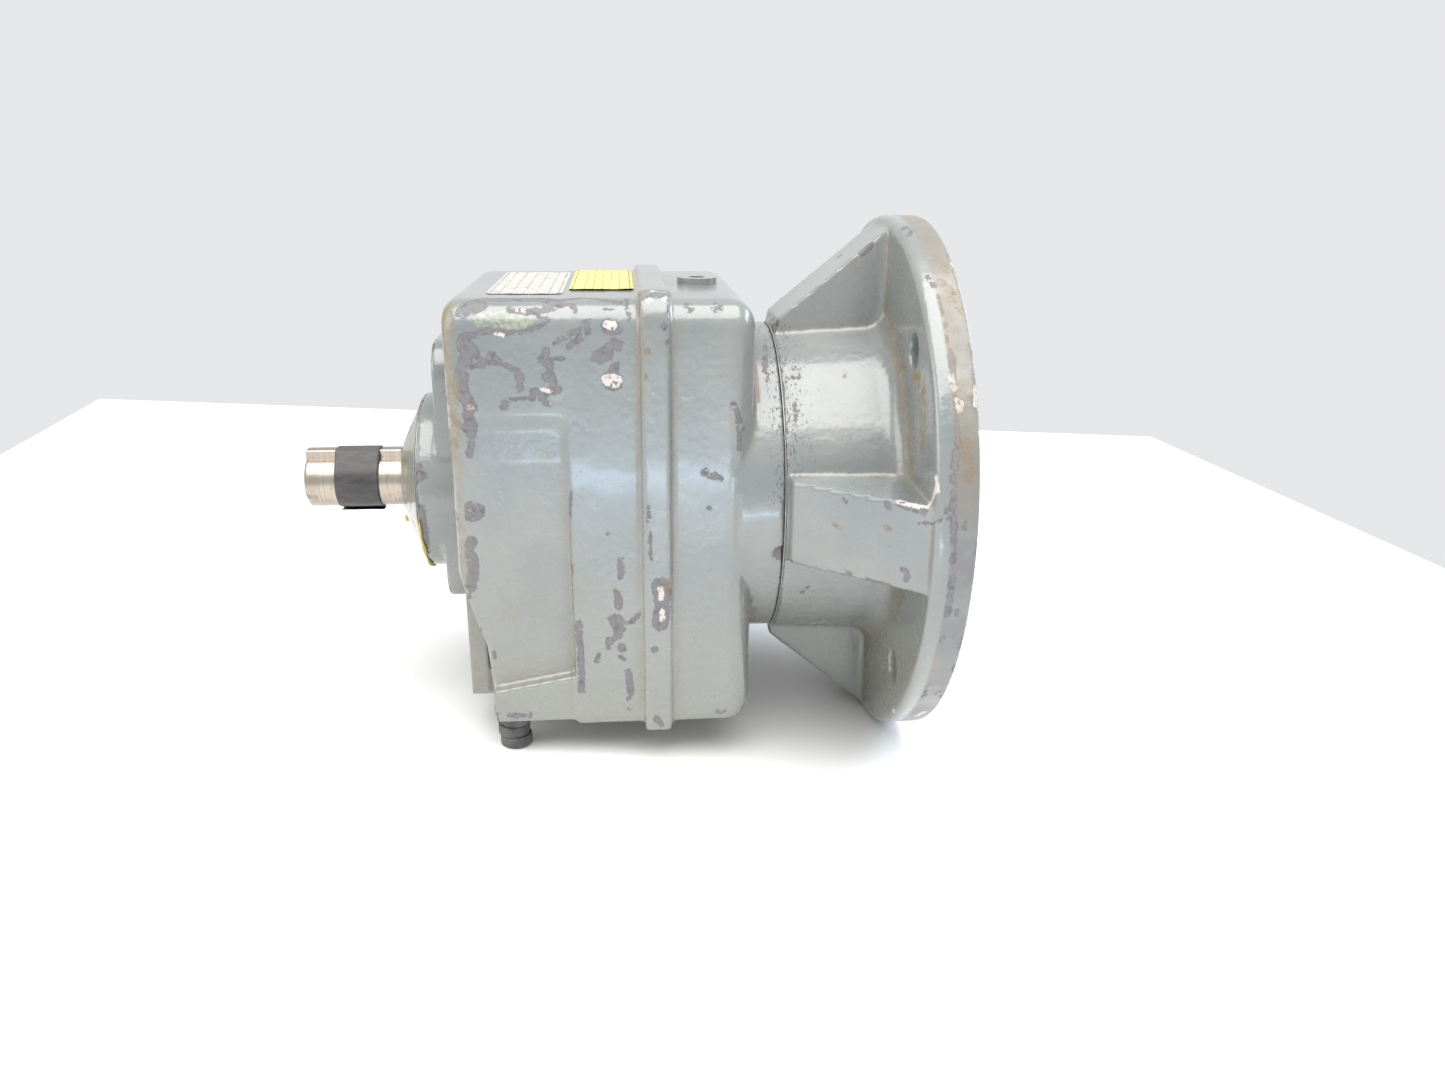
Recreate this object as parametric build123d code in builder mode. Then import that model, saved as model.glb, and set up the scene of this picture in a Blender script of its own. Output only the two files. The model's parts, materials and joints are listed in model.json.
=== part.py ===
from build123d import *
import math
import os

# Helical in-line gear reducer with a motor adapter flange, all sizes in mm.
# Origin: centre of the motor face on the shaft axis. +X leaves the motor face, +Z is up.
# The output shaft points to -X, and the layshaft runs under the main axis.

os.makedirs("parts", exist_ok=True)

# ---------------------------------------------------------------- general fits
GASKET_T = 0.4
CLEARANCE = 0.3
RUNNING_GAP = 0.05
SCREW_SLACK = 0.05
SHOULDER_T = 1.5

# ---------------------------------------------------------------- motor adapter
FLANGE_R = 100.0
FLANGE_BACK_X = -14.3
FLANGE_BACK_ROUND = 2.5
RIM_GROOVE_X = -8.0
RIM_GROOVE_W = 0.6
PILOT_R = 65.0
PILOT_DEPTH = 5.0
MOTOR_PCD_R = 82.5
MOTOR_HOLE_R = 6.0
NECK_R = 60.0
NECK_FLARE_R = 62.0
NECK_FILLET_R = 8.0
ADAPTER_JOINT_X = -56.0
ADAPTER_FLOOR_X = -40.0
ADAPTER_CAVITY_R = 54.5
ADAPTER_HUB_R = 40.0
ADAPTER_HUB_X = -30.0
ADAPTER_SHOULDER_R = 31.0
RIB_W = 30.0
RIB_FOOT_X = -54.5
RIB_FOOT_R = 63.5
RIB_TOP_R = 96.5

# ---------------------------------------------------------------- gear case
CASE_JOINT_X = ADAPTER_JOINT_X - GASKET_T
CASE_REAR_X = -67.0
CASE_FRONT_X = -171.0
CASE_HALF_W = 58.0
CASE_Z = (-80.0, 75.0)
FRONT_FOOT_Z = -77.5
FRONT_NOSE_X = CASE_FRONT_X + 9
FRONT_NOSE_Z = -73.0
CASE_LOW_ROUND = 4.0
CASE_TOP_ROUND = 10.0
CASE_REAR_ROUND = 9.0
CASE_FRONT_ROUND = 6.0
BAND_X = (-106.0, -96.3)
BAND_PROUD = 2.5
BLOCK_FACE_X = -179.5
BLOCK_HALF_W = 30.0
BLOCK_Z = (-41.0, 57.0)
BLOCK_ROUND = 12.0
BOSS_FACE_X = -187.0
BOSS_R = 33.65
BLOCK_ROOT = 3.0
CHAMBER_HALF_W = 45.0
CHAMBER_Z = (-71.0, 67.0)
CHAMBER_LOW_ROUND = 18.0
CHAMBER_TOP_ROUND = 8.0
REAR_WALL_X = -73.0
PARTITION_X = (-113.0, -107.0)
FRONT_WALL_X = -164.0
STUB_RECESS_R = 32.0
PARTITION_BOSS_R = 26.0
PARTITION_HOLE_R = 9.5
CASE_SHAFT_HOLE_R = 16.0
RELIEF_X = -131.0
RELIEF_TOP_Z = 36.0
RELIEF_LOW_Z = (-59.5, -67.0)
RELIEF_DEPTH = 5.5
FRONT_FOOT_INSET = 0.8
CORNER_CUT_TOP_Z = -14.0
CORNER_CUT_BEND = (CASE_FRONT_X + 3, -31.0)
CORNER_CUT_MIDDLE = (CASE_FRONT_X + 8, -48.0)
CORNER_CUT_FOOT_X = CASE_FRONT_X + 10.5
CORNER_CUT_HALF_W = 42.0
CUT_START = 1.0  # how far outside the case its cuts begin
CUT_START_X = CASE_FRONT_X - CUT_START
NOTCH_Z = -14.0
NOTCH_R = 4.0
NOTCH_DEPTH = 3.0

# side opening in the far wall, closed by the side cover
PAD_FACE_Y = 61.5
PAD_X = (-168.0, -72.0)
PAD_Z = (-70.0, 58.0)
PAD_ROUND = 10.0
OPENING_X = (-154.0, -84.0)
OPENING_Z = (-58.0, 46.0)
COVER_T = 6.0
COVER_ROUND = 1.5
COVER_SPIGOT = 3.0
COVER_FACE_Y = PAD_FACE_Y + GASKET_T + COVER_T
COVER_TAP_DEPTH = 9.0
COVER_SCREW_X = (-161.0, -119.0, -79.0)
COVER_SCREW_Z = (-64.0, -6.0, 52.0)
COVER_SCREW_PLACES = [
    (x, z)
    for x in COVER_SCREW_X
    for z in COVER_SCREW_Z
    if x != COVER_SCREW_X[1] or z != COVER_SCREW_Z[1]
]

# ---------------------------------------------------------------- screws and plugs
M8_R = 4.0
M8_HEAD_R = 6.5
M8_HEAD_H = 8.0
M8_SOCKET_R = 3.0
M8_SOCKET_DEPTH = 4.0
M6_R = 3.0
M6_HEX_R = 5.0
M6_HEAD_H = 4.0
ADAPTER_SCREW_R = 47.5
ADAPTER_SCREW_END_X = -66.0
BASE_HOLE_X = (-124.0, -84.0)
BASE_HOLE_Y = 43.0
BASE_HOLE_DEPTH = 11.0
PLUG_X = -83.5
PLUG_R = 5.5
PLUG_HEAD_R = 7.5
PLUG_HEAD_H = 1.5
PLUG_DEPTH = 9.0
PLUG_SOCKET_R = 3.0
PLUG_SOCKET_DEPTH = 5.0
SEAL_RING_T = 0.8

# ---------------------------------------------------------------- bearings, by radius
B6202 = {"bore": 7.5, "outer": 17.5, "ball": 2.98, "count": 8}
B6203 = {"bore": 8.5, "outer": 20.0, "ball": 3.37, "count": 8}
B6205 = {"bore": 12.5, "outer": 26.0, "ball": 3.97, "count": 9}
B6008 = {"bore": 20.0, "outer": 34.0, "ball": 3.97, "count": 12}
BALL_GAP = 0.08
RING_LAND = 0.7
CAGE_T = 1.6
CAGE_W = 1.2

CENTRE_DISTANCE = 37.5
LAY_Z = -CENTRE_DISTANCE
OUT_FRONT_BEARING_X = (-183.5, -168.5)
OUT_REAR_BEARING_X = (-132.0, -120.0)
NOSE_BEARING_X = (-118.0, -107.0)
INPUT_BEARING_X = (-55.8, -40.8)
LAY_FRONT_BEARING_X = (-164.0, -153.0)
LAY_REAR_BEARING_X = (-84.0, -73.0)
BEARINGS = (
    ("output_front_bearing", B6205, OUT_FRONT_BEARING_X, 0.0),
    ("output_rear_bearing", B6203, OUT_REAR_BEARING_X, 0.0),
    ("layshaft_front_bearing", B6202, LAY_FRONT_BEARING_X, LAY_Z),
    ("layshaft_rear_bearing", B6202, LAY_REAR_BEARING_X, LAY_Z),
    ("input_nose_bearing", B6202, NOSE_BEARING_X, 0.0),
    ("input_main_bearing", B6008, INPUT_BEARING_X, 0.0),
)
LAY_BOSS_R = 21.0
LAY_SHOULDER_R = 15.0
LAY_PASSAGE_R = 14.0

# circlips: internal ones hold outer rings, external ones hold gears and the input shaft
CIRCLIP_DEPTH = 1.2
CIRCLIP_GAP = 4.0
CIRCLIP_EYE_R = 0.6
OUT_CIRCLIP_X = (-185.6, -183.6)
LAY_CIRCLIP_X = (-72.8, -71.6)
GEAR_CLIP_R = (11.7, 14.3)
GEAR_CLIP_X = (-134.5, -133.3)
LAY_GEAR_CLIP_X = (-106.2, -105.0)
QUILL_CLIP_R = (18.8, 22.5)
QUILL_CLIP_X = (-40.8, -39.05)

# output end cover and the two oil seals
OUTPUT_SEAL_R = 17.5
OUTPUT_SEAL_X = (-194.0, -187.0)
INPUT_SEAL_X = (-38.8, -31.8)
COVER_NOSE_X = -196.0
COVER_NOSE_R = 16.3
COVER_LIP_R = 13.2
COVER_SPIGOT_X = -186.2

# ---------------------------------------------------------------- shafts and keys
SHAFT_R = 10.0
SHAFT_END_X = -233.3
SHAFT_SHOULDER_X = -193.8
SEAL_JOURNAL_R = 12.5
SHAFT_COLLAR_R = 15.0
SHAFT_CHAMFER = 1.0
CENTRE_TAP_DEPTH = 16.0
LAY_WAIST_R = 8.5
LAY_COLLAR_R = 14.2
PINION_NECK_R = 6.6
QUILL_R = 20.0
QUILL_COLLAR_X = -60.0
QUILL_COLLAR_R = 23.0
QUILL_END_X = -6.0
MOTOR_BORE_R = 12.0
MOTOR_BORE_END_X = -56.0
MOTOR_KEYWAY_TOP = 15.3

# each key is (width, height, how deep it sits in its shaft)
OUTPUT_KEY = (6.0, 6.0, 3.5)
GEAR_KEY = (8.0, 7.0, 4.0)
KEY_CHAMFER = 0.3
OUTPUT_KEY_X = (SHAFT_END_X, -197.5)
OUTPUT_GEAR_KEY_X = (-151.0, -136.0)
LAY_GEAR_KEY_X = (-103.5, -88.5)

# ---------------------------------------------------------------- teeth
# stage one runs from the input pinion to the layshaft gear, stage two to the output gear
PRESSURE_ANGLE = math.radians(20)
HELIX_ANGLE = math.radians(14)
ADDENDUM = 0.85
DEDENDUM = 1.12
BACKLASH = 0.14
FLANK_STEPS = 4
STAGE_1 = {"module": 1.25, "pinion": 13, "gear": 47, "x": -105.0, "width": 18.0}
STAGE_2 = {"module": 1.5, "pinion": 14, "gear": 36, "x": -152.5, "width": 18.0}
GEAR_RECESS_R = (17.5, 23.0)
GEAR_RECESS_DEPTH = 3.0

# ---------------------------------------------------------------- tape, labels and support discs
TAPE_X = (-221.4, -205.3)
TAPE_T = 0.4
LABEL_T = 0.4
LABEL_ROUND = 1.0
LABELS = (
    ("nameplate", (-158.0, -132.0), (-38.0, 40.0)),
    ("yellow_label", (-130.5, -107.5), (-26.0, 45.0)),
)
DISC_R = 5.9
DISC_T = 4.3
DISC_PITCH = 4.35
DISC_OFFSETS = (0.3, -0.4, 0.2)
DISC_X = -155.0
DISC_Y = 48.0


# ---------------------------------------------------------------- helpers
def save(piece, name):
    """Label one finished piece and write its STEP file."""
    piece.part.label = name
    export_step(piece.part, f"parts/{name}.step")


def x_plane(x):
    """The plane across the shaft axis at x: its own axes are +Y and +Z."""
    return Plane.YZ.offset(x)


def main_axis(z=0.0):
    """The line along X at height z."""
    return Axis((0, 0, z), (1, 0, 0))


def polar(radius, angle, z=0.0):
    """Point at an angle in radians round the line at height z, in the plane across X."""
    return (radius * math.cos(angle), z + radius * math.sin(angle))


def cylinder_span(x_low, x_high, radius, z=0.0, mode=Mode.ADD):
    """A cylinder along X from x_low to x_high in the active part."""
    with BuildSketch(x_plane(x_low)) as disc:
        with Locations((0, z)):
            Circle(radius)
    extrude(disc.sketch, amount=x_high - x_low, mode=mode)


def washer(name, x_low, x_high, inner_r, outer_r, z=0.0):
    """A plain ring along X, saved as its own piece."""
    with BuildPart() as ring:
        cylinder_span(x_low, x_high, outer_r, z)
        cylinder_span(x_low, x_high, inner_r, z, Mode.SUBTRACT)
    save(ring, name)


def box_span(x_span, y_span, z_span, mode=Mode.ADD):
    """A box between three pairs of limits in the active part."""
    spans = (x_span, y_span, z_span)
    with Locations(tuple(sum(span) / 2 for span in spans)):
        Box(*[abs(span[1] - span[0]) for span in spans], mode=mode)


# ---------------------------------------------------------------- gear case
def case_section(x, half_w, z_span, low_round, top_round):
    """Section of the case across X, with softer corners on top than below."""
    with BuildSketch(x_plane(x)) as section:
        with Locations((0, sum(z_span) / 2)):
            Rectangle(2 * half_w, z_span[1] - z_span[0])
        fillet(section.vertices().group_by(Axis.Y)[-1], top_round)
        fillet(section.vertices().group_by(Axis.Y)[0], low_round)
    return section.sketch


def side_relief():
    """Wedge taken from the near wall, from nothing at its top to its full depth at the ledge."""
    with BuildPart() as relief:
        with BuildSketch(Plane.XZ.offset(CASE_HALF_W + CUT_START)):
            with BuildLine():
                Polyline(
                    (CUT_START_X, RELIEF_TOP_Z),
                    (RELIEF_X, RELIEF_TOP_Z),
                    (RELIEF_X, RELIEF_LOW_Z[0]),
                    (CUT_START_X, RELIEF_LOW_Z[1]),
                    close=True,
                )
            make_face()
        extrude(amount=-CUT_START - RELIEF_DEPTH)
        with BuildSketch(x_plane(CUT_START_X)):
            with BuildLine():
                Polyline(
                    (-CASE_HALF_W - CUT_START, RELIEF_TOP_Z),
                    (-CASE_HALF_W, RELIEF_TOP_Z),
                    (-CASE_HALF_W + RELIEF_DEPTH, RELIEF_LOW_Z[1]),
                    (-CASE_HALF_W - CUT_START, RELIEF_LOW_Z[1]),
                    close=True,
                )
            make_face()
        extrude(amount=RELIEF_X - CUT_START_X, mode=Mode.INTERSECT)
    return relief.part


def corner_cut():
    """What is missing at both lower front corners, beside the deeper middle."""
    top = (CUT_START_X, CORNER_CUT_TOP_Z)
    with BuildPart() as cut:
        with BuildSketch(Plane.XZ.offset(CASE_HALF_W + CUT_START)):
            with BuildLine():
                ThreePointArc(top, CORNER_CUT_BEND, CORNER_CUT_MIDDLE)
                Polyline(
                    CORNER_CUT_MIDDLE,
                    (CORNER_CUT_FOOT_X, CASE_Z[0] - CUT_START),
                    (CUT_START_X, CASE_Z[0] - CUT_START),
                    top,
                )
            make_face()
        extrude(amount=CORNER_CUT_HALF_W - CASE_HALF_W - CUT_START)
        mirror(about=Plane.XZ)
    return cut.part


relief_wedge = side_relief()
lower_corners = corner_cut()

with BuildPart() as gear_case:
    # outside: main box, front block, output boss, band and neck stub
    extrude(
        case_section(CASE_REAR_X, CASE_HALF_W, CASE_Z, CASE_LOW_ROUND, CASE_TOP_ROUND),
        amount=CASE_FRONT_X - CASE_REAR_X,
    )
    fillet(gear_case.edges().group_by(Axis.X)[-1], CASE_REAR_ROUND)
    fillet(gear_case.edges().group_by(Axis.X)[0], CASE_FRONT_ROUND)
    add(relief_wedge, mode=Mode.SUBTRACT)
    add(lower_corners, mode=Mode.SUBTRACT)
    box_span(
        (CUT_START_X, RELIEF_X),
        (-CASE_HALF_W, CASE_HALF_W),
        (CASE_Z[0], FRONT_FOOT_Z),
        Mode.SUBTRACT,
    )
    box_span(
        (CUT_START_X, FRONT_NOSE_X),
        (-CORNER_CUT_HALF_W, CORNER_CUT_HALF_W),
        (CASE_Z[0], FRONT_NOSE_Z),
        Mode.SUBTRACT,
    )
    box_span(
        (CUT_START_X, RELIEF_X),
        (-CASE_HALF_W, -CASE_HALF_W + FRONT_FOOT_INSET),
        (CASE_Z[0], RELIEF_TOP_Z),
        Mode.SUBTRACT,
    )
    with BuildSketch(x_plane(BLOCK_FACE_X)):
        with Locations((0, sum(BLOCK_Z) / 2)):
            RectangleRounded(2 * BLOCK_HALF_W, BLOCK_Z[1] - BLOCK_Z[0], BLOCK_ROUND)
    extrude(amount=CASE_FRONT_X + BLOCK_ROOT - BLOCK_FACE_X)
    cylinder_span(BOSS_FACE_X, CASE_FRONT_X + BLOCK_ROOT, BOSS_R)
    band_z = (CASE_Z[0] - BAND_PROUD, CASE_Z[1] + BAND_PROUD)
    extrude(
        case_section(BAND_X[0], CASE_HALF_W + BAND_PROUD, band_z, CASE_LOW_ROUND, CASE_TOP_ROUND),
        amount=BAND_X[1] - BAND_X[0],
    )
    cylinder_span(REAR_WALL_X, CASE_JOINT_X, NECK_R)
    with BuildSketch(Plane.XZ.offset(-PAD_FACE_Y)):
        with Locations((sum(PAD_X) / 2, sum(PAD_Z) / 2)):
            RectangleRounded(PAD_X[1] - PAD_X[0], PAD_Z[1] - PAD_Z[0], PAD_ROUND)
    extrude(amount=PAD_FACE_Y - CHAMBER_HALF_W)

    # two chambers, with the partition between them
    for x_low, x_high in ((FRONT_WALL_X, PARTITION_X[0]), (PARTITION_X[1], REAR_WALL_X)):
        extrude(
            case_section(x_low, CHAMBER_HALF_W, CHAMBER_Z, CHAMBER_LOW_ROUND, CHAMBER_TOP_ROUND),
            amount=x_high - x_low,
            mode=Mode.SUBTRACT,
        )
    cylinder_span(OUT_REAR_BEARING_X[0], PARTITION_X[0], PARTITION_BOSS_R)
    cylinder_span(FRONT_WALL_X, LAY_FRONT_BEARING_X[1], LAY_BOSS_R, LAY_Z)
    cylinder_span(LAY_REAR_BEARING_X[0] - SHOULDER_T, REAR_WALL_X, LAY_BOSS_R, LAY_Z)

    # side opening that the gears go in through
    with BuildSketch(Plane.XZ.offset(-PAD_FACE_Y)):
        with Locations((sum(OPENING_X) / 2, sum(OPENING_Z) / 2)):
            RectangleRounded(
                OPENING_X[1] - OPENING_X[0], OPENING_Z[1] - OPENING_Z[0], PAD_ROUND
            )
    extrude(amount=PAD_FACE_Y - CHAMBER_HALF_W, mode=Mode.SUBTRACT)

    # bearing bores on the main axis
    cylinder_span(BOSS_FACE_X, OUT_FRONT_BEARING_X[1], B6205["outer"], mode=Mode.SUBTRACT)
    cylinder_span(*OUT_CIRCLIP_X, B6205["outer"] + CIRCLIP_DEPTH, mode=Mode.SUBTRACT)
    cylinder_span(OUT_FRONT_BEARING_X[1], FRONT_WALL_X, CASE_SHAFT_HOLE_R, mode=Mode.SUBTRACT)
    cylinder_span(*OUT_REAR_BEARING_X, B6203["outer"], mode=Mode.SUBTRACT)
    cylinder_span(OUT_REAR_BEARING_X[1], NOSE_BEARING_X[0], PARTITION_HOLE_R, mode=Mode.SUBTRACT)
    cylinder_span(*NOSE_BEARING_X, B6202["outer"], mode=Mode.SUBTRACT)
    cylinder_span(REAR_WALL_X, CASE_REAR_X, CASE_SHAFT_HOLE_R, mode=Mode.SUBTRACT)
    cylinder_span(CASE_REAR_X, CASE_JOINT_X, STUB_RECESS_R, mode=Mode.SUBTRACT)

    # layshaft bores: blind in front, through behind
    cylinder_span(*LAY_FRONT_BEARING_X, B6202["outer"], LAY_Z, Mode.SUBTRACT)
    cylinder_span(OUT_REAR_BEARING_X[0], PARTITION_X[1], LAY_PASSAGE_R, LAY_Z, Mode.SUBTRACT)
    cylinder_span(
        LAY_REAR_BEARING_X[0] - SHOULDER_T, LAY_REAR_BEARING_X[0], LAY_SHOULDER_R, LAY_Z, Mode.SUBTRACT
    )
    cylinder_span(LAY_REAR_BEARING_X[0], CASE_JOINT_X, B6202["outer"], LAY_Z, Mode.SUBTRACT)
    cylinder_span(*LAY_CIRCLIP_X, B6202["outer"] + CIRCLIP_DEPTH, LAY_Z, Mode.SUBTRACT)

    # tapped holes, plug holes and the pry notch at the adapter joint
    with BuildSketch(x_plane(CASE_JOINT_X)):
        with PolarLocations(ADAPTER_SCREW_R, 4, start_angle=45):
            Circle(M8_R)
    extrude(amount=ADAPTER_SCREW_END_X - 1 - CASE_JOINT_X, mode=Mode.SUBTRACT)
    with BuildSketch(Plane.XZ.offset(-PAD_FACE_Y)):
        with Locations(*COVER_SCREW_PLACES):
            Circle(M6_R)
    extrude(amount=COVER_TAP_DEPTH, mode=Mode.SUBTRACT)
    with BuildSketch(Plane.XY.offset(CASE_Z[0])):
        with Locations(*[(x, y) for x in BASE_HOLE_X for y in (-BASE_HOLE_Y, BASE_HOLE_Y)]):
            Circle(M8_R)
    extrude(amount=BASE_HOLE_DEPTH, mode=Mode.SUBTRACT)
    with BuildSketch(Plane.XY.offset(CASE_Z[0])):
        with Locations((PLUG_X, 0)):
            Circle(PLUG_R)
    extrude(amount=CASE_Z[1] - CASE_Z[0], mode=Mode.SUBTRACT)
    with Locations((CASE_JOINT_X, -NECK_R, NOTCH_Z)):
        Cylinder(NOTCH_R, 2 * NOTCH_DEPTH, rotation=(90, 0, 0), mode=Mode.SUBTRACT)
save(gear_case, "gear_case")


# ---------------------------------------------------------------- side cover
with BuildPart() as side_cover_gasket:
    with BuildSketch(Plane.XZ.offset(-PAD_FACE_Y)):
        with Locations((sum(PAD_X) / 2, sum(PAD_Z) / 2)):
            RectangleRounded(PAD_X[1] - PAD_X[0], PAD_Z[1] - PAD_Z[0], PAD_ROUND)
        with Locations((sum(OPENING_X) / 2, sum(OPENING_Z) / 2)):
            RectangleRounded(
                OPENING_X[1] - OPENING_X[0], OPENING_Z[1] - OPENING_Z[0], PAD_ROUND, mode=Mode.SUBTRACT
            )
        with Locations(*COVER_SCREW_PLACES):
            Circle(M6_R + CLEARANCE, mode=Mode.SUBTRACT)
    extrude(amount=-GASKET_T)
save(side_cover_gasket, "side_cover_gasket")

with BuildPart() as side_cover:
    with BuildSketch(Plane.XZ.offset(-PAD_FACE_Y - GASKET_T)):
        with Locations((sum(PAD_X) / 2, sum(PAD_Z) / 2)):
            RectangleRounded(PAD_X[1] - PAD_X[0], PAD_Z[1] - PAD_Z[0], PAD_ROUND)
    extrude(amount=-COVER_T)
    fillet(side_cover.edges().group_by(Axis.Y)[-1], COVER_ROUND)
    with BuildSketch(Plane.XZ.offset(-PAD_FACE_Y - GASKET_T)):
        with Locations((sum(OPENING_X) / 2, sum(OPENING_Z) / 2)):
            RectangleRounded(
                OPENING_X[1] - OPENING_X[0] - 4, OPENING_Z[1] - OPENING_Z[0] - 4, PAD_ROUND
            )
    extrude(amount=COVER_SPIGOT)
    with BuildSketch(Plane.XZ.offset(-PAD_FACE_Y - GASKET_T)):
        with Locations(*COVER_SCREW_PLACES):
            Circle(M6_R + CLEARANCE)
    extrude(amount=-COVER_T, mode=Mode.SUBTRACT)
save(side_cover, "side_cover")

with BuildPart() as side_cover_screws:
    with BuildSketch(Plane.XZ.offset(-COVER_FACE_Y)):
        with Locations(*COVER_SCREW_PLACES):
            RegularPolygon(M6_HEX_R, 6, major_radius=False)
    extrude(amount=-M6_HEAD_H)
    with BuildSketch(Plane.XZ.offset(-COVER_FACE_Y)):
        with Locations(*COVER_SCREW_PLACES):
            Circle(M6_R - SCREW_SLACK)
    extrude(amount=COVER_T + COVER_TAP_DEPTH)
save(side_cover_screws, "side_cover_screws")


# ---------------------------------------------------------------- motor adapter
with BuildPart() as motor_adapter:
    # outside turned about the shaft axis
    with BuildSketch(Plane.XZ):
        with BuildLine():
            Polyline(
                (ADAPTER_JOINT_X, 0),
                (ADAPTER_JOINT_X, NECK_R),
                (FLANGE_BACK_X, NECK_FLARE_R),
                (FLANGE_BACK_X, FLANGE_R),
                (RIM_GROOVE_X - RIM_GROOVE_W, FLANGE_R),
                (RIM_GROOVE_X - RIM_GROOVE_W, FLANGE_R - RIM_GROOVE_W),
                (RIM_GROOVE_X, FLANGE_R - RIM_GROOVE_W),
                (RIM_GROOVE_X, FLANGE_R),
                (0, FLANGE_R),
                (0, 0),
                close=True,
            )
        make_face()
    revolve(axis=main_axis())
    neck_corner = motor_adapter.edges().filter_by(GeomType.CIRCLE).filter_by(
        lambda edge: abs(edge.radius - NECK_FLARE_R) < CLEARANCE
    )
    fillet(neck_corner, NECK_FILLET_R)
    flange_back_edge = motor_adapter.edges().filter_by(GeomType.CIRCLE).filter_by(
        lambda edge: abs(edge.radius - FLANGE_R) < CLEARANCE and edge.center().X < FLANGE_BACK_X + 1
    )
    fillet(flange_back_edge, FLANGE_BACK_ROUND)
    # four ribs from the joint to the back of the flange
    for turn in range(4):
        with BuildSketch(Plane.XZ.rotated((90 * turn, 0, 0)).offset(-RIB_W / 2)):
            with BuildLine():
                Polyline(
                    (ADAPTER_JOINT_X + 1, NECK_R - 4),
                    (ADAPTER_JOINT_X + 1, NECK_R + 0.5),
                    (RIB_FOOT_X, RIB_FOOT_R),
                    (FLANGE_BACK_X, RIB_TOP_R),
                    (FLANGE_BACK_X + 2, RIB_TOP_R),
                    (FLANGE_BACK_X + 2, NECK_R - 4),
                    close=True,
                )
            make_face()
        extrude(amount=RIB_W)
    # hollow: pilot recess, cavity, seal seat, shoulder and bearing bore
    cylinder_span(-PILOT_DEPTH, 0, PILOT_R, mode=Mode.SUBTRACT)
    cylinder_span(ADAPTER_FLOOR_X, 0, ADAPTER_CAVITY_R, mode=Mode.SUBTRACT)
    cylinder_span(ADAPTER_FLOOR_X, ADAPTER_HUB_X, ADAPTER_HUB_R)
    cylinder_span(INPUT_SEAL_X[0], ADAPTER_HUB_X, B6008["outer"], mode=Mode.SUBTRACT)
    cylinder_span(INPUT_BEARING_X[1], INPUT_SEAL_X[0], ADAPTER_SHOULDER_R, mode=Mode.SUBTRACT)
    cylinder_span(ADAPTER_JOINT_X, INPUT_BEARING_X[1], B6008["outer"], mode=Mode.SUBTRACT)
    # motor bolt holes and the counterpart holes of the joint screws
    with BuildSketch(x_plane(FLANGE_BACK_X)):
        with PolarLocations(MOTOR_PCD_R, 4, start_angle=45):
            Circle(MOTOR_HOLE_R)
    extrude(amount=-FLANGE_BACK_X, mode=Mode.SUBTRACT)
    with BuildSketch(x_plane(ADAPTER_JOINT_X)):
        with PolarLocations(ADAPTER_SCREW_R, 4, start_angle=45):
            Circle(M8_R + CLEARANCE)
    extrude(amount=ADAPTER_FLOOR_X - ADAPTER_JOINT_X, mode=Mode.SUBTRACT)
save(motor_adapter, "motor_adapter")

with BuildPart() as adapter_gasket:
    with BuildSketch(x_plane(CASE_JOINT_X)):
        Circle(NECK_R)
        Circle(B6008["outer"] + 2, mode=Mode.SUBTRACT)
        with Locations((0, LAY_Z)):
            Circle(B6202["outer"] + 1, mode=Mode.SUBTRACT)
        with PolarLocations(ADAPTER_SCREW_R, 4, start_angle=45):
            Circle(M8_R + CLEARANCE, mode=Mode.SUBTRACT)
    extrude(amount=GASKET_T)
save(adapter_gasket, "adapter_gasket")

with BuildPart() as adapter_screws:
    with BuildSketch(x_plane(ADAPTER_FLOOR_X)):
        with PolarLocations(ADAPTER_SCREW_R, 4, start_angle=45):
            Circle(M8_HEAD_R)
    extrude(amount=M8_HEAD_H)
    with BuildSketch(x_plane(ADAPTER_SCREW_END_X)):
        with PolarLocations(ADAPTER_SCREW_R, 4, start_angle=45):
            Circle(M8_R - SCREW_SLACK)
    extrude(amount=ADAPTER_FLOOR_X - ADAPTER_SCREW_END_X)
    with BuildSketch(x_plane(ADAPTER_FLOOR_X + M8_HEAD_H)):
        with PolarLocations(ADAPTER_SCREW_R, 4, start_angle=45):
            RegularPolygon(M8_SOCKET_R, 6, major_radius=False)
    extrude(amount=-M8_SOCKET_DEPTH, mode=Mode.SUBTRACT)
save(adapter_screws, "adapter_screws")


# ---------------------------------------------------------------- output end cover and seals
washer("output_cover_gasket", BOSS_FACE_X - GASKET_T, BOSS_FACE_X, B6205["outer"], BOSS_R - 0.5)

with BuildPart() as output_cover:
    with BuildSketch(Plane.XZ):
        with BuildLine():
            Polyline(
                (COVER_NOSE_X, COVER_LIP_R),
                (COVER_NOSE_X, COVER_NOSE_R),
                (BOSS_FACE_X - GASKET_T, BOSS_R),
                (BOSS_FACE_X - GASKET_T, B6205["outer"] - RUNNING_GAP),
                (COVER_SPIGOT_X, B6205["outer"] - RUNNING_GAP),
                (COVER_SPIGOT_X, OUTPUT_SEAL_R),
                (OUTPUT_SEAL_X[0], OUTPUT_SEAL_R),
                (OUTPUT_SEAL_X[0], COVER_LIP_R),
                close=True,
            )
        make_face()
    revolve(axis=main_axis())
save(output_cover, "output_cover")


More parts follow.
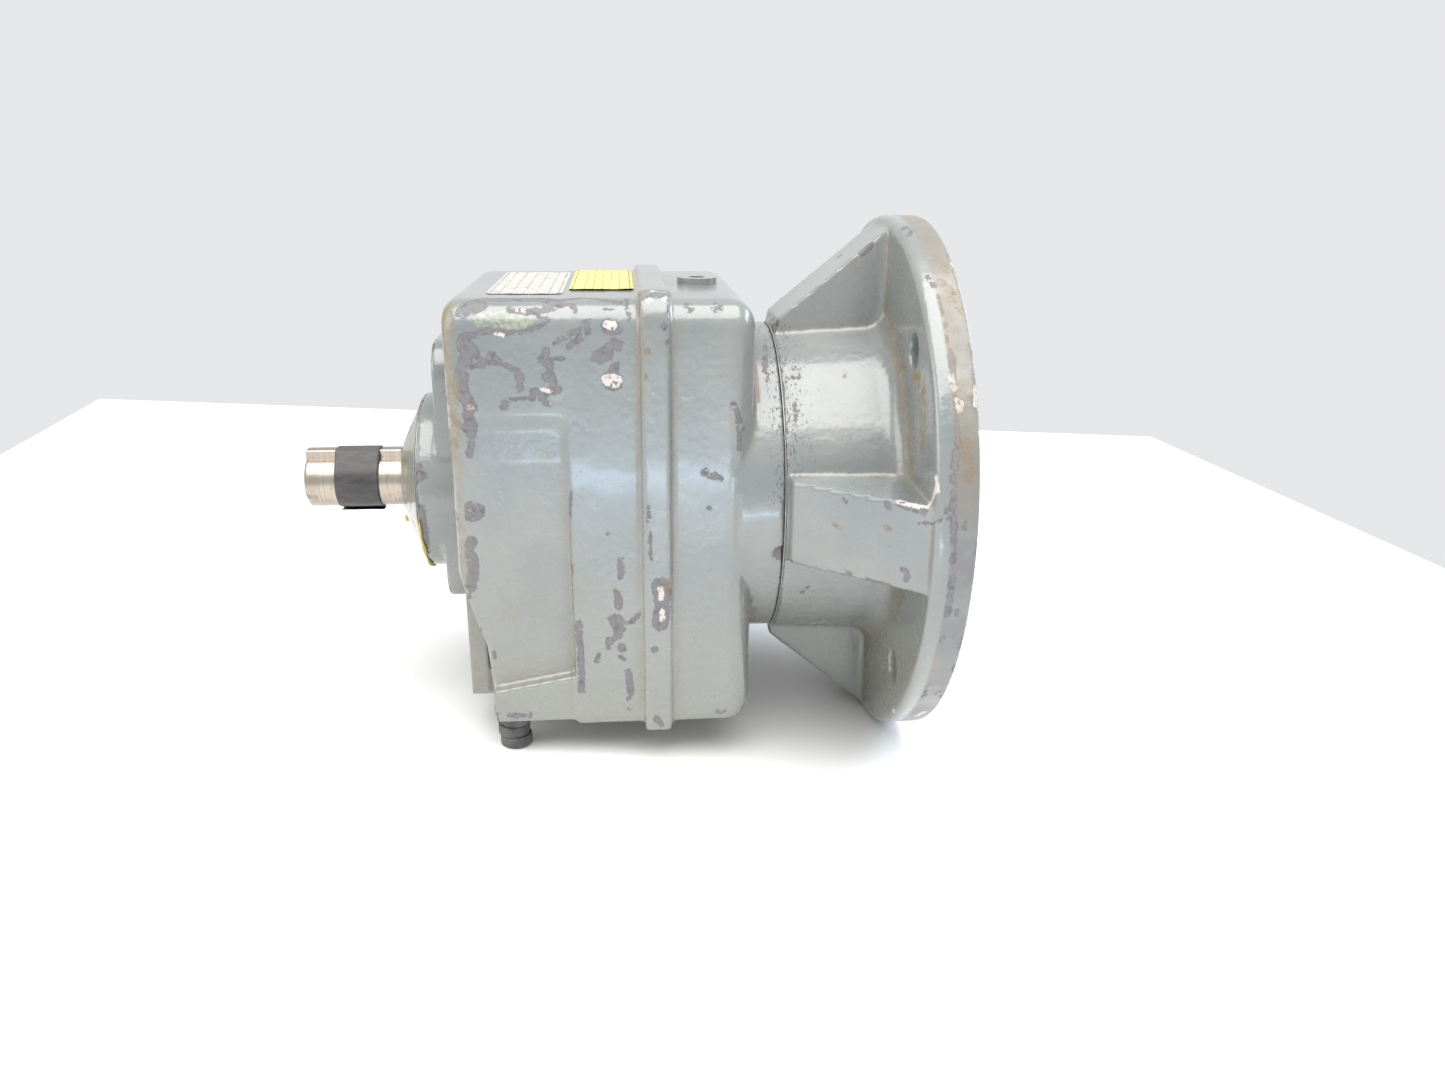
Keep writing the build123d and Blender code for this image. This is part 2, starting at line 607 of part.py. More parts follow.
def oil_seal(name, x_span, shaft_r, outer_r):
    """Rotary shaft seal: a cased ring with a lip that just clears the shaft surface."""
    low, high = x_span
    lip_r = shaft_r + RUNNING_GAP
    throat_r = (lip_r + outer_r) / 2
    with BuildPart() as seal:
        with BuildSketch(Plane.XZ):
            with BuildLine():
                Polyline(
                    (low, outer_r),
                    (high, outer_r),
                    (high, outer_r - 1.2),
                    (low + 2.2, outer_r - 1.2),
                    (low + 2.2, throat_r),
                    (high - 0.6, throat_r - 0.6),
                    (high - 0.6, lip_r + 1.2),
                    ((low + high) / 2 + 0.6, lip_r),
                    (low + 1, lip_r + 1),
                    (low, lip_r + 1),
                    close=True,
                )
            make_face()
        revolve(axis=main_axis())
    save(seal, name)


oil_seal("output_oil_seal", OUTPUT_SEAL_X, SEAL_JOURNAL_R, OUTPUT_SEAL_R)
oil_seal("input_oil_seal", INPUT_SEAL_X, QUILL_R, B6008["outer"])


# ---------------------------------------------------------------- bearings and circlips
def ball_bearing(name, size, x_span, z):
    """Deep groove ball bearing: outer ring, inner ring, balls and ball cage."""
    low, high = x_span
    middle = (low + high) / 2
    pitch_r = (size["bore"] + size["outer"]) / 2
    ball_r = size["ball"]
    land = ball_r * RING_LAND
    for part_name, inner_r, outer_r in (
        ("outer_ring", pitch_r + land, size["outer"]),
        ("inner_ring", size["bore"], pitch_r - land),
    ):
        with BuildPart() as ring:
            cylinder_span(low, high, outer_r, z)
            cylinder_span(low, high, inner_r, z, Mode.SUBTRACT)
            with BuildSketch(Plane.XZ) as groove:
                with Locations((middle, z + pitch_r)):
                    Circle(ball_r + BALL_GAP)
            revolve(groove.sketch, axis=main_axis(z), mode=Mode.SUBTRACT)
        save(ring, f"{name}_{part_name}")
    turns = [2 * math.pi * n / size["count"] for n in range(size["count"])]
    places = [(middle, *polar(pitch_r, turn, z)) for turn in turns]
    with BuildPart() as balls:
        with Locations(*places):
            Sphere(ball_r)
    save(balls, f"{name}_balls")
    with BuildPart() as cage:
        cylinder_span(middle - ball_r * CAGE_W, middle + ball_r * CAGE_W, pitch_r + CAGE_T / 2, z)
        cylinder_span(
            middle - ball_r * CAGE_W, middle + ball_r * CAGE_W, pitch_r - CAGE_T / 2, z, Mode.SUBTRACT
        )
        with Locations(*places):
            Sphere(ball_r + BALL_GAP, mode=Mode.SUBTRACT)
    save(cage, f"{name}_cage")


for bearing_name, bearing_size, bearing_x, bearing_z in BEARINGS:
    ball_bearing(bearing_name, bearing_size, bearing_x, bearing_z)


def circlip(name, x_span, inner_r, outer_r, z, gap_angle):
    """Flat retaining ring with a gap at gap_angle and a pair of eyes beside it."""
    mid_r = (inner_r + outer_r) / 2
    with BuildPart() as clip:
        cylinder_span(*x_span, outer_r, z)
        cylinder_span(*x_span, inner_r, z, Mode.SUBTRACT)
        with BuildSketch(x_plane(x_span[0])) as gap:
            with Locations(polar(mid_r, math.radians(gap_angle), z)):
                Rectangle(2 * (outer_r - inner_r), CIRCLIP_GAP, rotation=gap_angle)
        extrude(gap.sketch, amount=x_span[1] - x_span[0], mode=Mode.SUBTRACT)
        with BuildSketch(x_plane(x_span[0])) as eyes:
            for side in (-1, 1):
                turn = math.radians(gap_angle) + side * CIRCLIP_GAP / mid_r
                with Locations(polar(mid_r, turn, z)):
                    Circle(CIRCLIP_EYE_R)
        extrude(eyes.sketch, amount=x_span[1] - x_span[0], mode=Mode.SUBTRACT)
    save(clip, name)


circlip(
    "output_bearing_circlip",
    OUT_CIRCLIP_X,
    B6205["outer"] - CIRCLIP_DEPTH,
    B6205["outer"] + CIRCLIP_DEPTH - CLEARANCE,
    0,
    90,
)
circlip(
    "layshaft_bearing_circlip",
    LAY_CIRCLIP_X,
    B6202["outer"] - CIRCLIP_DEPTH,
    B6202["outer"] + CIRCLIP_DEPTH - CLEARANCE,
    LAY_Z,
    90,
)
circlip("output_gear_circlip", GEAR_CLIP_X, GEAR_CLIP_R[0], GEAR_CLIP_R[1], 0, 0)
circlip("layshaft_gear_circlip", LAY_GEAR_CLIP_X, GEAR_CLIP_R[0], GEAR_CLIP_R[1], LAY_Z, 0)


# ---------------------------------------------------------------- gears
def involute(angle):
    """The involute function."""
    return math.tan(angle) - angle


def tooth_outline(teeth, module, first_tooth):
    """Involute outline of a whole gear, with a tooth centred on the angle first_tooth."""
    pitch_r = module * teeth / 2
    base_r = pitch_r * math.cos(PRESSURE_ANGLE)
    root_r = pitch_r - DEDENDUM * module
    tip_r = pitch_r + ADDENDUM * module
    flank_r = max(base_r, root_r)
    half_pitch = math.pi / (2 * teeth) - BACKLASH / (2 * pitch_r)

    def half_angle(radius):
        roll = math.acos(min(1.0, base_r / radius))
        return half_pitch + involute(PRESSURE_ANGLE) - involute(roll)

    radii = [flank_r + (tip_r - flank_r) * step / FLANK_STEPS for step in range(FLANK_STEPS + 1)]
    with BuildSketch(Plane.YZ) as outline:
        with BuildLine():
            for tooth in range(teeth):
                centre = first_tooth + 2 * math.pi * tooth / teeth
                following = centre + 2 * math.pi / teeth
                rising = [polar(radius, centre - half_angle(radius)) for radius in radii]
                falling = [polar(radius, centre + half_angle(radius)) for radius in reversed(radii)]
                root_start = centre + half_angle(flank_r)
                root_end = following - half_angle(flank_r)
                Spline(*rising)
                ThreePointArc(rising[-1], polar(tip_r, centre), falling[0])
                Spline(*falling)
                if flank_r > root_r:
                    Line(falling[-1], polar(root_r, root_start))
                    Line(polar(root_r, root_end), polar(flank_r, root_end))
                ThreePointArc(
                    polar(root_r, root_start),
                    polar(root_r, (root_start + root_end) / 2),
                    polar(root_r, root_end),
                )
        make_face()
    return outline.sketch.face()


def helical_teeth(stage, which, z, hand):
    """Solid with helical teeth, in mesh with its mate on the line between the two axes."""
    teeth = stage[which]
    pitch_r = stage["module"] * teeth / 2
    towards_mate = -math.pi / 2 if z == 0 else math.pi / 2
    shift = 0 if z == 0 else math.pi / teeth
    outline = tooth_outline(teeth, stage["module"], towards_mate + shift)
    twist = hand * math.degrees(stage["width"] * math.tan(HELIX_ANGLE) / pitch_r)
    solid = Solid.extrude_linear_with_rotation(outline, (0, 0, 0), (stage["width"], 0, 0), twist)
    return Pos(stage["x"], 0, z) * solid


def gear_wheel(name, teeth_solid, bore_r, key, x_span, z):
    """Keyed gear wheel on its shaft, with a shallow recess turned in each face."""
    with BuildPart() as wheel:
        add(teeth_solid)
        cylinder_span(*x_span, bore_r, z, Mode.SUBTRACT)
        key_top = z + bore_r - key[2] + key[1] + CLEARANCE
        box_span(x_span, (-key[0] / 2, key[0] / 2), (z, key_top), Mode.SUBTRACT)
        for face_x, inward in ((x_span[0], 1), (x_span[1], -1)):
            with BuildSketch(x_plane(face_x)) as recess:
                with Locations((0, z)):
                    Circle(GEAR_RECESS_R[1])
                    Circle(GEAR_RECESS_R[0], mode=Mode.SUBTRACT)
            extrude(recess.sketch, amount=inward * GEAR_RECESS_DEPTH, mode=Mode.SUBTRACT)
    save(wheel, name)


def stage_span(stage):
    """Where a stage's teeth begin and end along X."""
    return (stage["x"], stage["x"] + stage["width"])


gear_wheel(
    "output_gear",
    helical_teeth(STAGE_2, "gear", 0, 1),
    SEAL_JOURNAL_R,
    GEAR_KEY,
    stage_span(STAGE_2),
    0,
)
gear_wheel(
    "layshaft_gear",
    helical_teeth(STAGE_1, "gear", LAY_Z, 1),
    SEAL_JOURNAL_R,
    GEAR_KEY,
    stage_span(STAGE_1),
    LAY_Z,
)


# ---------------------------------------------------------------- shafts
def add_steps(steps, z=0.0):
    """Cylinders end to end along X: each step is (x where it starts, radius); the last closes."""
    for (x_low, radius), (x_high, _) in zip(steps, steps[1:]):
        cylinder_span(x_low, x_high, radius, z)


def cut_keyway(x_span, key, shaft_r, z=0.0):
    """Keyway in the top of a shaft."""
    floor = z + shaft_r - key[2]
    box_span(x_span, (-key[0] / 2, key[0] / 2), (floor, floor + 2 * key[1]), Mode.SUBTRACT)


def shaft_key(name, x_span, key, shaft_r, z=0.0):
    """Key that fills a keyway and stands proud of it."""
    floor = z + shaft_r - key[2]
    with BuildPart() as piece:
        box_span(x_span, (-key[0] / 2, key[0] / 2), (floor, floor + key[1]))
        chamfer(piece.edges().filter_by(Axis.X), KEY_CHAMFER)
    save(piece, name)


with BuildPart() as output_shaft:
    add_steps(
        [
            (SHAFT_END_X, SHAFT_R),
            (SHAFT_SHOULDER_X, SEAL_JOURNAL_R),
            (OUT_FRONT_BEARING_X[1], SHAFT_COLLAR_R),
            (STAGE_2["x"], SEAL_JOURNAL_R),
            (OUT_REAR_BEARING_X[0] - CLEARANCE, B6203["bore"]),
            (OUT_REAR_BEARING_X[1], 0),
        ]
    )
    chamfer(output_shaft.edges().group_by(Axis.X)[0], SHAFT_CHAMFER)
    chamfer(output_shaft.edges().group_by(Axis.X)[-1], SHAFT_CHAMFER)
    cut_keyway(OUTPUT_KEY_X, OUTPUT_KEY, SHAFT_R)
    cut_keyway(OUTPUT_GEAR_KEY_X, GEAR_KEY, SEAL_JOURNAL_R)
    with BuildSketch(x_plane(GEAR_CLIP_X[0])):
        Circle(SEAL_JOURNAL_R + 1)
        Circle(GEAR_CLIP_R[0], mode=Mode.SUBTRACT)
    extrude(amount=GEAR_CLIP_X[1] - GEAR_CLIP_X[0], mode=Mode.SUBTRACT)
    cylinder_span(SHAFT_END_X, SHAFT_END_X + CENTRE_TAP_DEPTH, M6_R, mode=Mode.SUBTRACT)
save(output_shaft, "output_shaft")

shaft_key("output_key", OUTPUT_KEY_X, OUTPUT_KEY, SHAFT_R)
shaft_key("output_gear_key", OUTPUT_GEAR_KEY_X, GEAR_KEY, SEAL_JOURNAL_R)

with BuildPart() as layshaft:
    add_steps(
        [
            (LAY_FRONT_BEARING_X[0] + 0.5, B6202["bore"]),
            (LAY_FRONT_BEARING_X[1], LAY_WAIST_R),
            (LAY_GEAR_CLIP_X[0] - 1.2, SEAL_JOURNAL_R),
            (stage_span(STAGE_1)[1], LAY_COLLAR_R),
            (LAY_REAR_BEARING_X[0], B6202["bore"]),
            (LAY_REAR_BEARING_X[1] + 1, 0),
        ],
        LAY_Z,
    )
    chamfer(layshaft.edges().group_by(Axis.X)[0], SHAFT_CHAMFER / 2)
    chamfer(layshaft.edges().group_by(Axis.X)[-1], SHAFT_CHAMFER / 2)
    add(helical_teeth(STAGE_2, "pinion", LAY_Z, -1))
    cut_keyway(LAY_GEAR_KEY_X, GEAR_KEY, SEAL_JOURNAL_R, LAY_Z)
    with BuildSketch(x_plane(LAY_GEAR_CLIP_X[0])):
        with Locations((0, LAY_Z)):
            Circle(SEAL_JOURNAL_R + 1)
            Circle(GEAR_CLIP_R[0], mode=Mode.SUBTRACT)
    extrude(amount=LAY_GEAR_CLIP_X[1] - LAY_GEAR_CLIP_X[0], mode=Mode.SUBTRACT)
save(layshaft, "layshaft")

shaft_key("layshaft_gear_key", LAY_GEAR_KEY_X, GEAR_KEY, SEAL_JOURNAL_R, LAY_Z)

with BuildPart() as input_shaft:
    add_steps(
        [
            (NOSE_BEARING_X[0] + 0.5, B6202["bore"]),
            (NOSE_BEARING_X[1], PINION_NECK_R),
            (stage_span(STAGE_1)[1] + 1, SEAL_JOURNAL_R),
            (QUILL_COLLAR_X, QUILL_COLLAR_R),
            (INPUT_BEARING_X[0], QUILL_R),
            (QUILL_END_X, 0),
        ]
    )
    chamfer(input_shaft.edges().group_by(Axis.X)[0], SHAFT_CHAMFER / 2)
    chamfer(input_shaft.edges().group_by(Axis.X)[-1], SHAFT_CHAMFER)
    add(helical_teeth(STAGE_1, "pinion", 0, -1))
    cylinder_span(MOTOR_BORE_END_X, QUILL_END_X, MOTOR_BORE_R, mode=Mode.SUBTRACT)
    box_span(
        (MOTOR_BORE_END_X, QUILL_END_X),
        (-GEAR_KEY[0] / 2, GEAR_KEY[0] / 2),
        (0, MOTOR_KEYWAY_TOP),
        Mode.SUBTRACT,
    )
    with BuildSketch(x_plane(QUILL_CLIP_X[0])):
        Circle(QUILL_R + 1)
        Circle(QUILL_CLIP_R[0], mode=Mode.SUBTRACT)
    extrude(amount=QUILL_CLIP_X[1] - QUILL_CLIP_X[0], mode=Mode.SUBTRACT)
save(input_shaft, "input_shaft")

circlip("input_shaft_circlip", QUILL_CLIP_X, QUILL_CLIP_R[0], QUILL_CLIP_R[1], 0, 0)


# ---------------------------------------------------------------- tape, plugs, labels, supports
with BuildPart() as shaft_tape:
    with BuildSketch(x_plane(TAPE_X[0])):
        Circle(SHAFT_R + RUNNING_GAP + TAPE_T)
        key_top = SHAFT_R - OUTPUT_KEY[2] + OUTPUT_KEY[1]
        with Locations((0, (key_top + TAPE_T) / 2)):
            Rectangle(OUTPUT_KEY[0] + 2 * TAPE_T, key_top + TAPE_T)
        Circle(SHAFT_R + RUNNING_GAP, mode=Mode.SUBTRACT)
        with Locations((0, key_top / 2)):
            Rectangle(OUTPUT_KEY[0], key_top, mode=Mode.SUBTRACT)
    extrude(amount=TAPE_X[1] - TAPE_X[0])
save(shaft_tape, "shaft_tape")


def screw_plug(name, face_z, outward):
    """Hexagon socket screw plug with a collar, seated on a sealing ring at face_z."""
    with BuildPart() as plug:
        with BuildSketch(Plane.XY.offset(face_z + outward * SEAL_RING_T)):
            with Locations((PLUG_X, 0)):
                Circle(PLUG_HEAD_R)
        extrude(amount=outward * PLUG_HEAD_H)
        with BuildSketch(Plane.XY.offset(face_z + outward * SEAL_RING_T)):
            with Locations((PLUG_X, 0)):
                Circle(PLUG_R - SCREW_SLACK)
        extrude(amount=-outward * PLUG_DEPTH)
        with BuildSketch(Plane.XY.offset(face_z + outward * (SEAL_RING_T + PLUG_HEAD_H))):
            with Locations((PLUG_X, 0)):
                RegularPolygon(PLUG_SOCKET_R, 6, major_radius=False)
        extrude(amount=-outward * PLUG_SOCKET_DEPTH, mode=Mode.SUBTRACT)
    save(plug, name)


screw_plug("vent_plug", CASE_Z[1], 1)
screw_plug("drain_plug", CASE_Z[0], -1)

with BuildPart() as plug_seal_rings:
    for face_z, outward in ((CASE_Z[1], 1), (CASE_Z[0], -1)):
        with BuildSketch(Plane.XY.offset(face_z)):
            with Locations((PLUG_X, 0)):
                Circle(PLUG_HEAD_R)
                Circle(PLUG_R, mode=Mode.SUBTRACT)
        extrude(amount=outward * SEAL_RING_T)
save(plug_seal_rings, "plug_seal_rings")

for label_name, x_span, y_span in LABELS:
    with BuildPart() as label_plate:
        box_span(x_span, y_span, (CASE_Z[1], CASE_Z[1] + LABEL_T))
        fillet(label_plate.edges().filter_by(Axis.Z), LABEL_ROUND)
    save(label_plate, label_name)

for stack_name, stack_y in (("near_support_discs", -DISC_Y), ("far_support_discs", DISC_Y)):
    with BuildPart() as disc_stack:
        for level, offset in enumerate(DISC_OFFSETS):
            with BuildSketch(Plane.XY.offset(FRONT_FOOT_Z - level * DISC_PITCH)):
                with Locations((DISC_X + offset, stack_y)):
                    Circle(DISC_R)
            extrude(amount=-DISC_T)
    save(disc_stack, stack_name)
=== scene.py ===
"""Looks of a helical gear reducer with a motor adapter: worn blue-grey castings on its CAD frame."""

import json
import math
from functools import partial

import bmesh
import bpy
import numpy as np
from mathutils import Matrix, Vector, noise


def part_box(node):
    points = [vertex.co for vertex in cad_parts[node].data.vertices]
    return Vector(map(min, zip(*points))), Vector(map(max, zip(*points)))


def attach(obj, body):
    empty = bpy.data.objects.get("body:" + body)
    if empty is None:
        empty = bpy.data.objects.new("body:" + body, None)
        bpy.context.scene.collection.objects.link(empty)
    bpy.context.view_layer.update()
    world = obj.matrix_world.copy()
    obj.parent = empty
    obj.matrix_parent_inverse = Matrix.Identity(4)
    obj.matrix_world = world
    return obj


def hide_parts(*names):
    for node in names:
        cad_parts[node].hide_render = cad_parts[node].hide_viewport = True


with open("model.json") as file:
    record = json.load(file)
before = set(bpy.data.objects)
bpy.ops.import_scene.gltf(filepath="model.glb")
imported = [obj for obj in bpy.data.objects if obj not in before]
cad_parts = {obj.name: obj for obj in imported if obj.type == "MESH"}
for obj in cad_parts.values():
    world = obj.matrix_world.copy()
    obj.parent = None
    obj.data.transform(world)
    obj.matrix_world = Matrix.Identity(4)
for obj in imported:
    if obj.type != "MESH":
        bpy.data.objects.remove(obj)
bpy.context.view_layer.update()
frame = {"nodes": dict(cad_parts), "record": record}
MM = 0.001


def box_in_mm(node):
    """The two corners of a CAD node's box, in millimetres."""
    return [np.array(corner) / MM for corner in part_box(node)]


FLANGE_R = box_in_mm("motor_adapter")[1][2]
SLOT_OF = {part["node"]: part["material_slot"] for part in frame["record"]["subparts"]}

# the gear case, in millimetres from the centre of the motor face
WALL_Y = 58.0
NEAR_SIDE_Y = 16.0 - WALL_Y
TOP_Z = 75.0
TOP_ROUND = 10.0
FRONT_X = -171.0
JOINT_X = -56.0
STEP_X = -131.0
RELIEF_TOP_Z = 36.0
BAND_FRONT_X = -106.0
NECK_R = 60.0
NOTCH_Z = -14.0
NOTCH_R = 4.0
BOSS_R = 33.6
BOSS_FACE_X = -187.0
CHAMBER_HALF_W = 45.0
CHAMBER_Z = (-72.0, 68.0)
FRONT_WALL_X = -164.0
BLOCK_HALF_W = 32.0

# the motor adapter
RIM_LINE_X = -8.0
RIM_ROUND = 1.2
FLANGE_BACK_X = -14.3
CAVITY_R = 54.5
FACE_SKIN = 0.7

# labels, tape, discs and sealant
LABEL_T = 0.16
SHAFT_R = 10.0
TAPE_LAYER = 0.16
TAPE_GAP = 0.03
TAPE_TURNS = 2.35
TAPE_START = math.radians(20)
DISC_SHIFTS = (0.2, -0.4, 0.3)
BEAD_STEPS = 69
BEAD_START = -172.0
BEAD_STEP = 1.75

# fields of wear hold a depth in millimetres plus this, so that a mesh without them is sound paint
WEAR_ZERO = 9.0


# ---- mesh helpers
def linked(name, data):
    """A new object in the scene."""
    thing = bpy.data.objects.new(name, data)
    bpy.context.scene.collection.objects.link(thing)
    return thing


def link_piece(name, mesh, nodes=(), slot="case_paint", body="housing", look=None):
    """A shown piece that rides on a body and stands for the named CAD nodes; its look is its slot's."""
    piece = linked(name, mesh)
    mesh.materials.clear()
    mesh.materials.append(MATERIALS[look or slot])
    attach(piece, body)
    if nodes:
        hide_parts(*nodes)


def mesh_from(name, points, faces):
    """A smooth mesh from points in millimetres."""
    mesh = bpy.data.meshes.new(name)
    mesh.from_pydata([tuple(value * MM for value in point) for point in points], [], faces)
    mesh.validate()
    mesh.polygons.foreach_set("use_smooth", [True] * len(mesh.polygons))
    return mesh


def closed_sheet(name, columns, rows, at, thickness):
    """A thin closed sheet: at(u, v) gives a point and its normal, in millimetres."""
    front, back = [], []
    for row in range(rows + 1):
        for column in range(columns + 1):
            point, normal = at(column / columns, row / rows)
            front.append(Vector(point) + Vector(normal) * thickness / 2)
            back.append(Vector(point) - Vector(normal) * thickness / 2)
    total = len(front)
    grid = np.arange(total).reshape(rows + 1, columns + 1)
    quads = np.stack([grid[:-1, :-1], grid[:-1, 1:], grid[1:, 1:], grid[1:, :-1]], 2).reshape(-1, 4)
    rim = np.concatenate([grid[0, :-1], grid[:-1, -1], grid[-1, :0:-1], grid[:0:-1, 0]])
    after = np.roll(rim, -1)
    edge = np.stack([after, rim, total + rim, total + after], 1)
    faces = np.concatenate([quads, total + quads[:, ::-1], edge])
    return mesh_from(name, front + back, faces.tolist())


def bridge(low, high):
    """Faces between two rings of point numbers, either of which may be a single point."""
    sides = max(len(low), len(high))
    faces = []
    for turn in range(sides):
        after = (turn + 1) % sides
        corners = [low[turn % len(low)], low[after % len(low)]]
        corners += [high[after % len(high)], high[turn % len(high)]]
        faces.append(tuple(dict.fromkeys(corners)))
    return faces


def swept_tube(name, centres, radii, sides=10):
    """A closed tube through the centres, with a radius at each."""
    points = []
    for index, centre in enumerate(centres):
        ahead = Vector(centres[min(index + 1, len(centres) - 1)])
        behind = Vector(centres[max(index - 1, 0)])
        across = (ahead - behind).normalized()
        side = across.cross(Vector((0.31, 0.2, 0.93))).normalized()
        upward = across.cross(side)
        for turn in range(sides):
            angle = math.tau * turn / sides
            spread = side * math.cos(angle) + upward * math.sin(angle)
            points.append(Vector(centre) + spread * radii[index])
    rings = [range(first, first + sides) for first in range(0, len(points), sides)]
    faces = [face for low, high in zip(rings, rings[1:]) for face in bridge(low, high)]
    return mesh_from(name, points, faces + [tuple(reversed(rings[0])), tuple(rings[-1])])


def lathe(profile, centre, sides=64):
    """Points and faces of a body turned about Z; its (radius, height) profile joins the axis twice."""
    points, rings = [], []
    for radius, height in profile:
        start = len(points)
        for turn in range(sides if radius > 0 else 1):
            angle = math.tau * turn / sides
            from_centre = Vector((radius * math.cos(angle), radius * math.sin(angle), height))
            points.append(Vector(centre) + from_centre)
        rings.append(range(start, len(points)))
    return points, [face for low, high in zip(rings, rings[1:]) for face in bridge(low, high)]


def read_rows(collection, key, width, kind=np.float32):
    """One row of numbers for each vertex or edge."""
    values = np.empty(len(collection) * width, kind)
    collection.foreach_get(key, values)
    return values.reshape(-1, width)


def vertex_points(mesh):
    """The mesh's points in millimetres."""
    return read_rows(mesh.vertices, "co", 3).astype(float) / MM


def set_points(mesh, points):
    mesh.vertices.foreach_set("co", (points * MM).astype(np.float32).ravel())
    mesh.update()


def neighbour_mean(values, edges):
    """Each point's neighbours averaged; values is one column or several."""
    count = len(values)
    here, there = np.concatenate([edges, edges[:, ::-1]]).T
    near = np.bincount(here, minlength=count).clip(1)
    columns = values.reshape(count, -1).T
    means = [np.bincount(here, column[there], count) / near for column in columns]
    return np.stack(means, 1).reshape(values.shape)


def relaxed(values, edges, rounds, share=0.5):
    """The values drawn towards their neighbours' mean, round after round."""
    for _ in range(rounds):
        values = values + share * (neighbour_mean(values, edges) - values)
    return values


def lumps(points, size, seed):
    """Smooth noise from -1 to 1, with lumps of about that size in millimetres."""
    offset = Vector((seed * 13.7, seed * 7.1, seed * 3.3))
    return np.array([noise.noise(Vector(point) / size + offset) for point in points])


def bell(values, middle, width):
    """1 at the middle, fading to nothing over about twice the width."""
    return np.exp(-((values - middle) / width) ** 2)


def ripple(*place):
    """Smooth noise from -1 to 1 at a place in space."""
    return noise.noise(Vector(place))


def set_fields(mesh, **fields):
    """Gives the mesh a number at each point, or one number for all, under each name."""
    for name, values in fields.items():
        attribute = mesh.attributes.new(name, "FLOAT", "POINT")
        every = np.broadcast_to(values, len(mesh.vertices)).astype(np.float32)
        attribute.data.foreach_set("value", every)


def set_wear(mesh, where, **depths):
    """Stores the depths where they count, and sound paint everywhere else."""
    for name, depth in depths.items():
        set_fields(mesh, **{name: np.where(where, depth, -WEAR_ZERO) + WEAR_ZERO})


def voxel_copy(node, voxel):
    """A mesh of even faces over the skin of a CAD node; voxel is in millimetres."""
    source = linked(node + "_source", frame["nodes"][node].data.copy())
    remesh = source.modifiers.new("even", "REMESH")
    remesh.mode = "VOXEL"
    remesh.voxel_size = voxel * MM
    remesh.use_smooth_shade = True
    shown = source.evaluated_get(bpy.context.evaluated_depsgraph_get())
    mesh = bpy.data.meshes.new_from_object(shown)
    bpy.data.objects.remove(source)
    return mesh


# ---- where the paint has gone
def ring(x, height, radius):
    """A closed path round a small dent on the wall."""
    turns = [math.tau * step / 10 for step in range(11)]
    return tuple((x + radius * math.cos(turn), height + radius * math.sin(turn)) for turn in turns)


def around(radius, half_width, *places):
    """A stroke on a cylinder: x and the angle from the near side upwards, in degrees, at each place."""
    turns = [(x, math.radians(angle)) for x, angle in places]
    return half_width, *((x, -radius * math.cos(turn), radius * math.sin(turn)) for x, turn in turns)


on_neck, on_flange, on_boss = (partial(around, radius) for radius in (NECK_R, FLANGE_R, BOSS_R))


